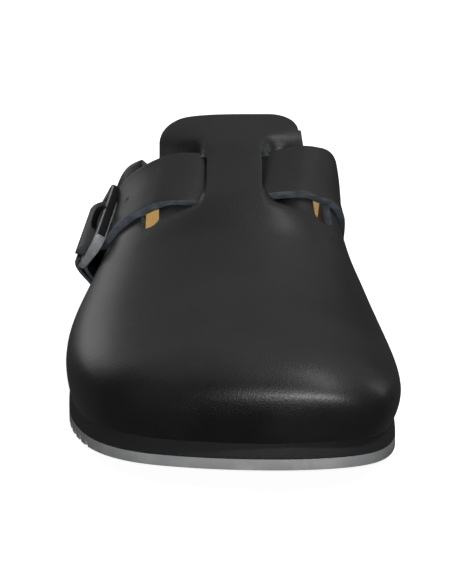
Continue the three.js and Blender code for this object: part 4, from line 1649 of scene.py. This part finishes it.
@dataclass
class Studio:
    """A pale floor, soft lights and the camera at the photograph's angle."""

    target: tuple[float, float, float] = (-1.8, -66.0, 43.7)
    elevation: float = 18.0
    distance: float = 1200.0
    pixels_per_mm: float = 3.05
    ball_height: float = 19.0
    picture_height: float = 584.0
    sensor: float = 36.0

    def build(self) -> None:
        """Make the floor, the lights and the camera."""
        self.make_floor()
        self.make_world()
        self.make_lights()
        self.make_camera()

    def make_floor(self) -> None:
        """A wide white floor."""
        bpy.ops.mesh.primitive_plane_add(size=14, location=(0, 0, -0.0002))
        floor = bpy.context.object
        floor.name = "floor"
        shader = Shader("floor_white")
        colour = shader.mix(shader.noise(400, 2), (0.93, 0.93, 0.93, 1), (0.96, 0.96, 0.96, 1))
        floor.data.materials.append(
            shader.finish(
                {
                    "Base Color": colour,
                    "Roughness": 0.9,
                    "Emission Color": (1, 1, 1, 1),
                    "Emission Strength": 0.82,
                }
            )
        )
        floor.visible_glossy = False
        floor.visible_diffuse = False

    def make_world(self) -> None:
        """Even white light from all round."""
        world = bpy.data.worlds.new("studio_white")
        world.use_nodes = True
        background = world.node_tree.nodes["Background"]
        background.inputs["Color"].default_value = (1, 1, 1, 1)
        background.inputs["Strength"].default_value = 0.07
        bpy.context.scene.world = world
        bpy.context.scene.view_settings.view_transform = "Standard"

    def add_softbox(
        self, name: str, place: Vector, size: tuple[float, float], power: float
    ) -> bpy.types.Object:
        """Hang one area light that looks at the shoe.

        Args:
            name: The light's name.
            place: Where it hangs, in metres.
            size: Its width and height in metres.
            power: Its power in watts.

        Returns:
            The light.
        """
        aim = Vector(self.target) * MM
        bpy.ops.object.light_add(type="AREA", location=place)
        light = bpy.context.object
        light.name = name
        light.rotation_euler = (aim - place).to_track_quat("-Z", "Y").to_euler()
        light.data.shape = "RECTANGLE"
        light.data.size, light.data.size_y = size
        light.data.energy = power
        return light

    def make_lights(self) -> None:
        """A wide sky, two strips for the toe's gloss, one box behind each side and a dull low one."""
        self.add_softbox("sky_box", Vector((0, 0.75, 1.35)), (2.4, 1.8), 3.5)
        self.add_softbox("toe_strip", Vector((0.4, 0.05, 1.25)), (0.8, 0.16), 2.2)
        self.add_softbox("front_box", Vector((0.34, -0.86, 1.0)), (0.6, 0.13), 7.5)
        self.add_softbox("right_box", Vector((1.1, 0.6, 0.6)), (0.4, 0.7), 1)
        self.add_softbox("left_box", Vector((-0.85, 1.1, 0.4)), (0.5, 0.6), 1.3)
        fill = self.add_softbox("fill_box", Vector((-0.2, -1.5, 0.3)), (1.2, 0.5), 16)
        fill.visible_glossy = False

    def make_camera(self) -> None:
        """The photograph's camera, low in front of the toe."""
        tilt = math.radians(self.elevation)
        back = Vector((0, -math.cos(tilt), math.sin(tilt)))
        aim = Vector(self.target)
        ball = Vector((aim.x, aim.y, self.ball_height))
        ball_distance = self.distance - (ball - aim).dot(back)
        focal_pixels = self.pixels_per_mm * ball_distance
        bpy.ops.object.camera_add(location=(aim + back * self.distance) * MM)
        camera = bpy.context.object
        camera.name = "front_camera"
        camera.rotation_euler = (math.pi / 2 - tilt, 0, 0)
        camera.data.sensor_width = self.sensor
        camera.data.lens = focal_pixels * self.sensor / self.picture_height
        camera.data.clip_end = 20
        bpy.context.scene.camera = camera


def main() -> None:
    """Build the studio and every piece, in order."""
    logging.basicConfig(level=logging.INFO, format="%(name)s: %(message)s")
    Studio().build()
    Sole().build()
    Upper().build()
    StrapAndBuckle().build()


if __name__ == "__main__":
    main()
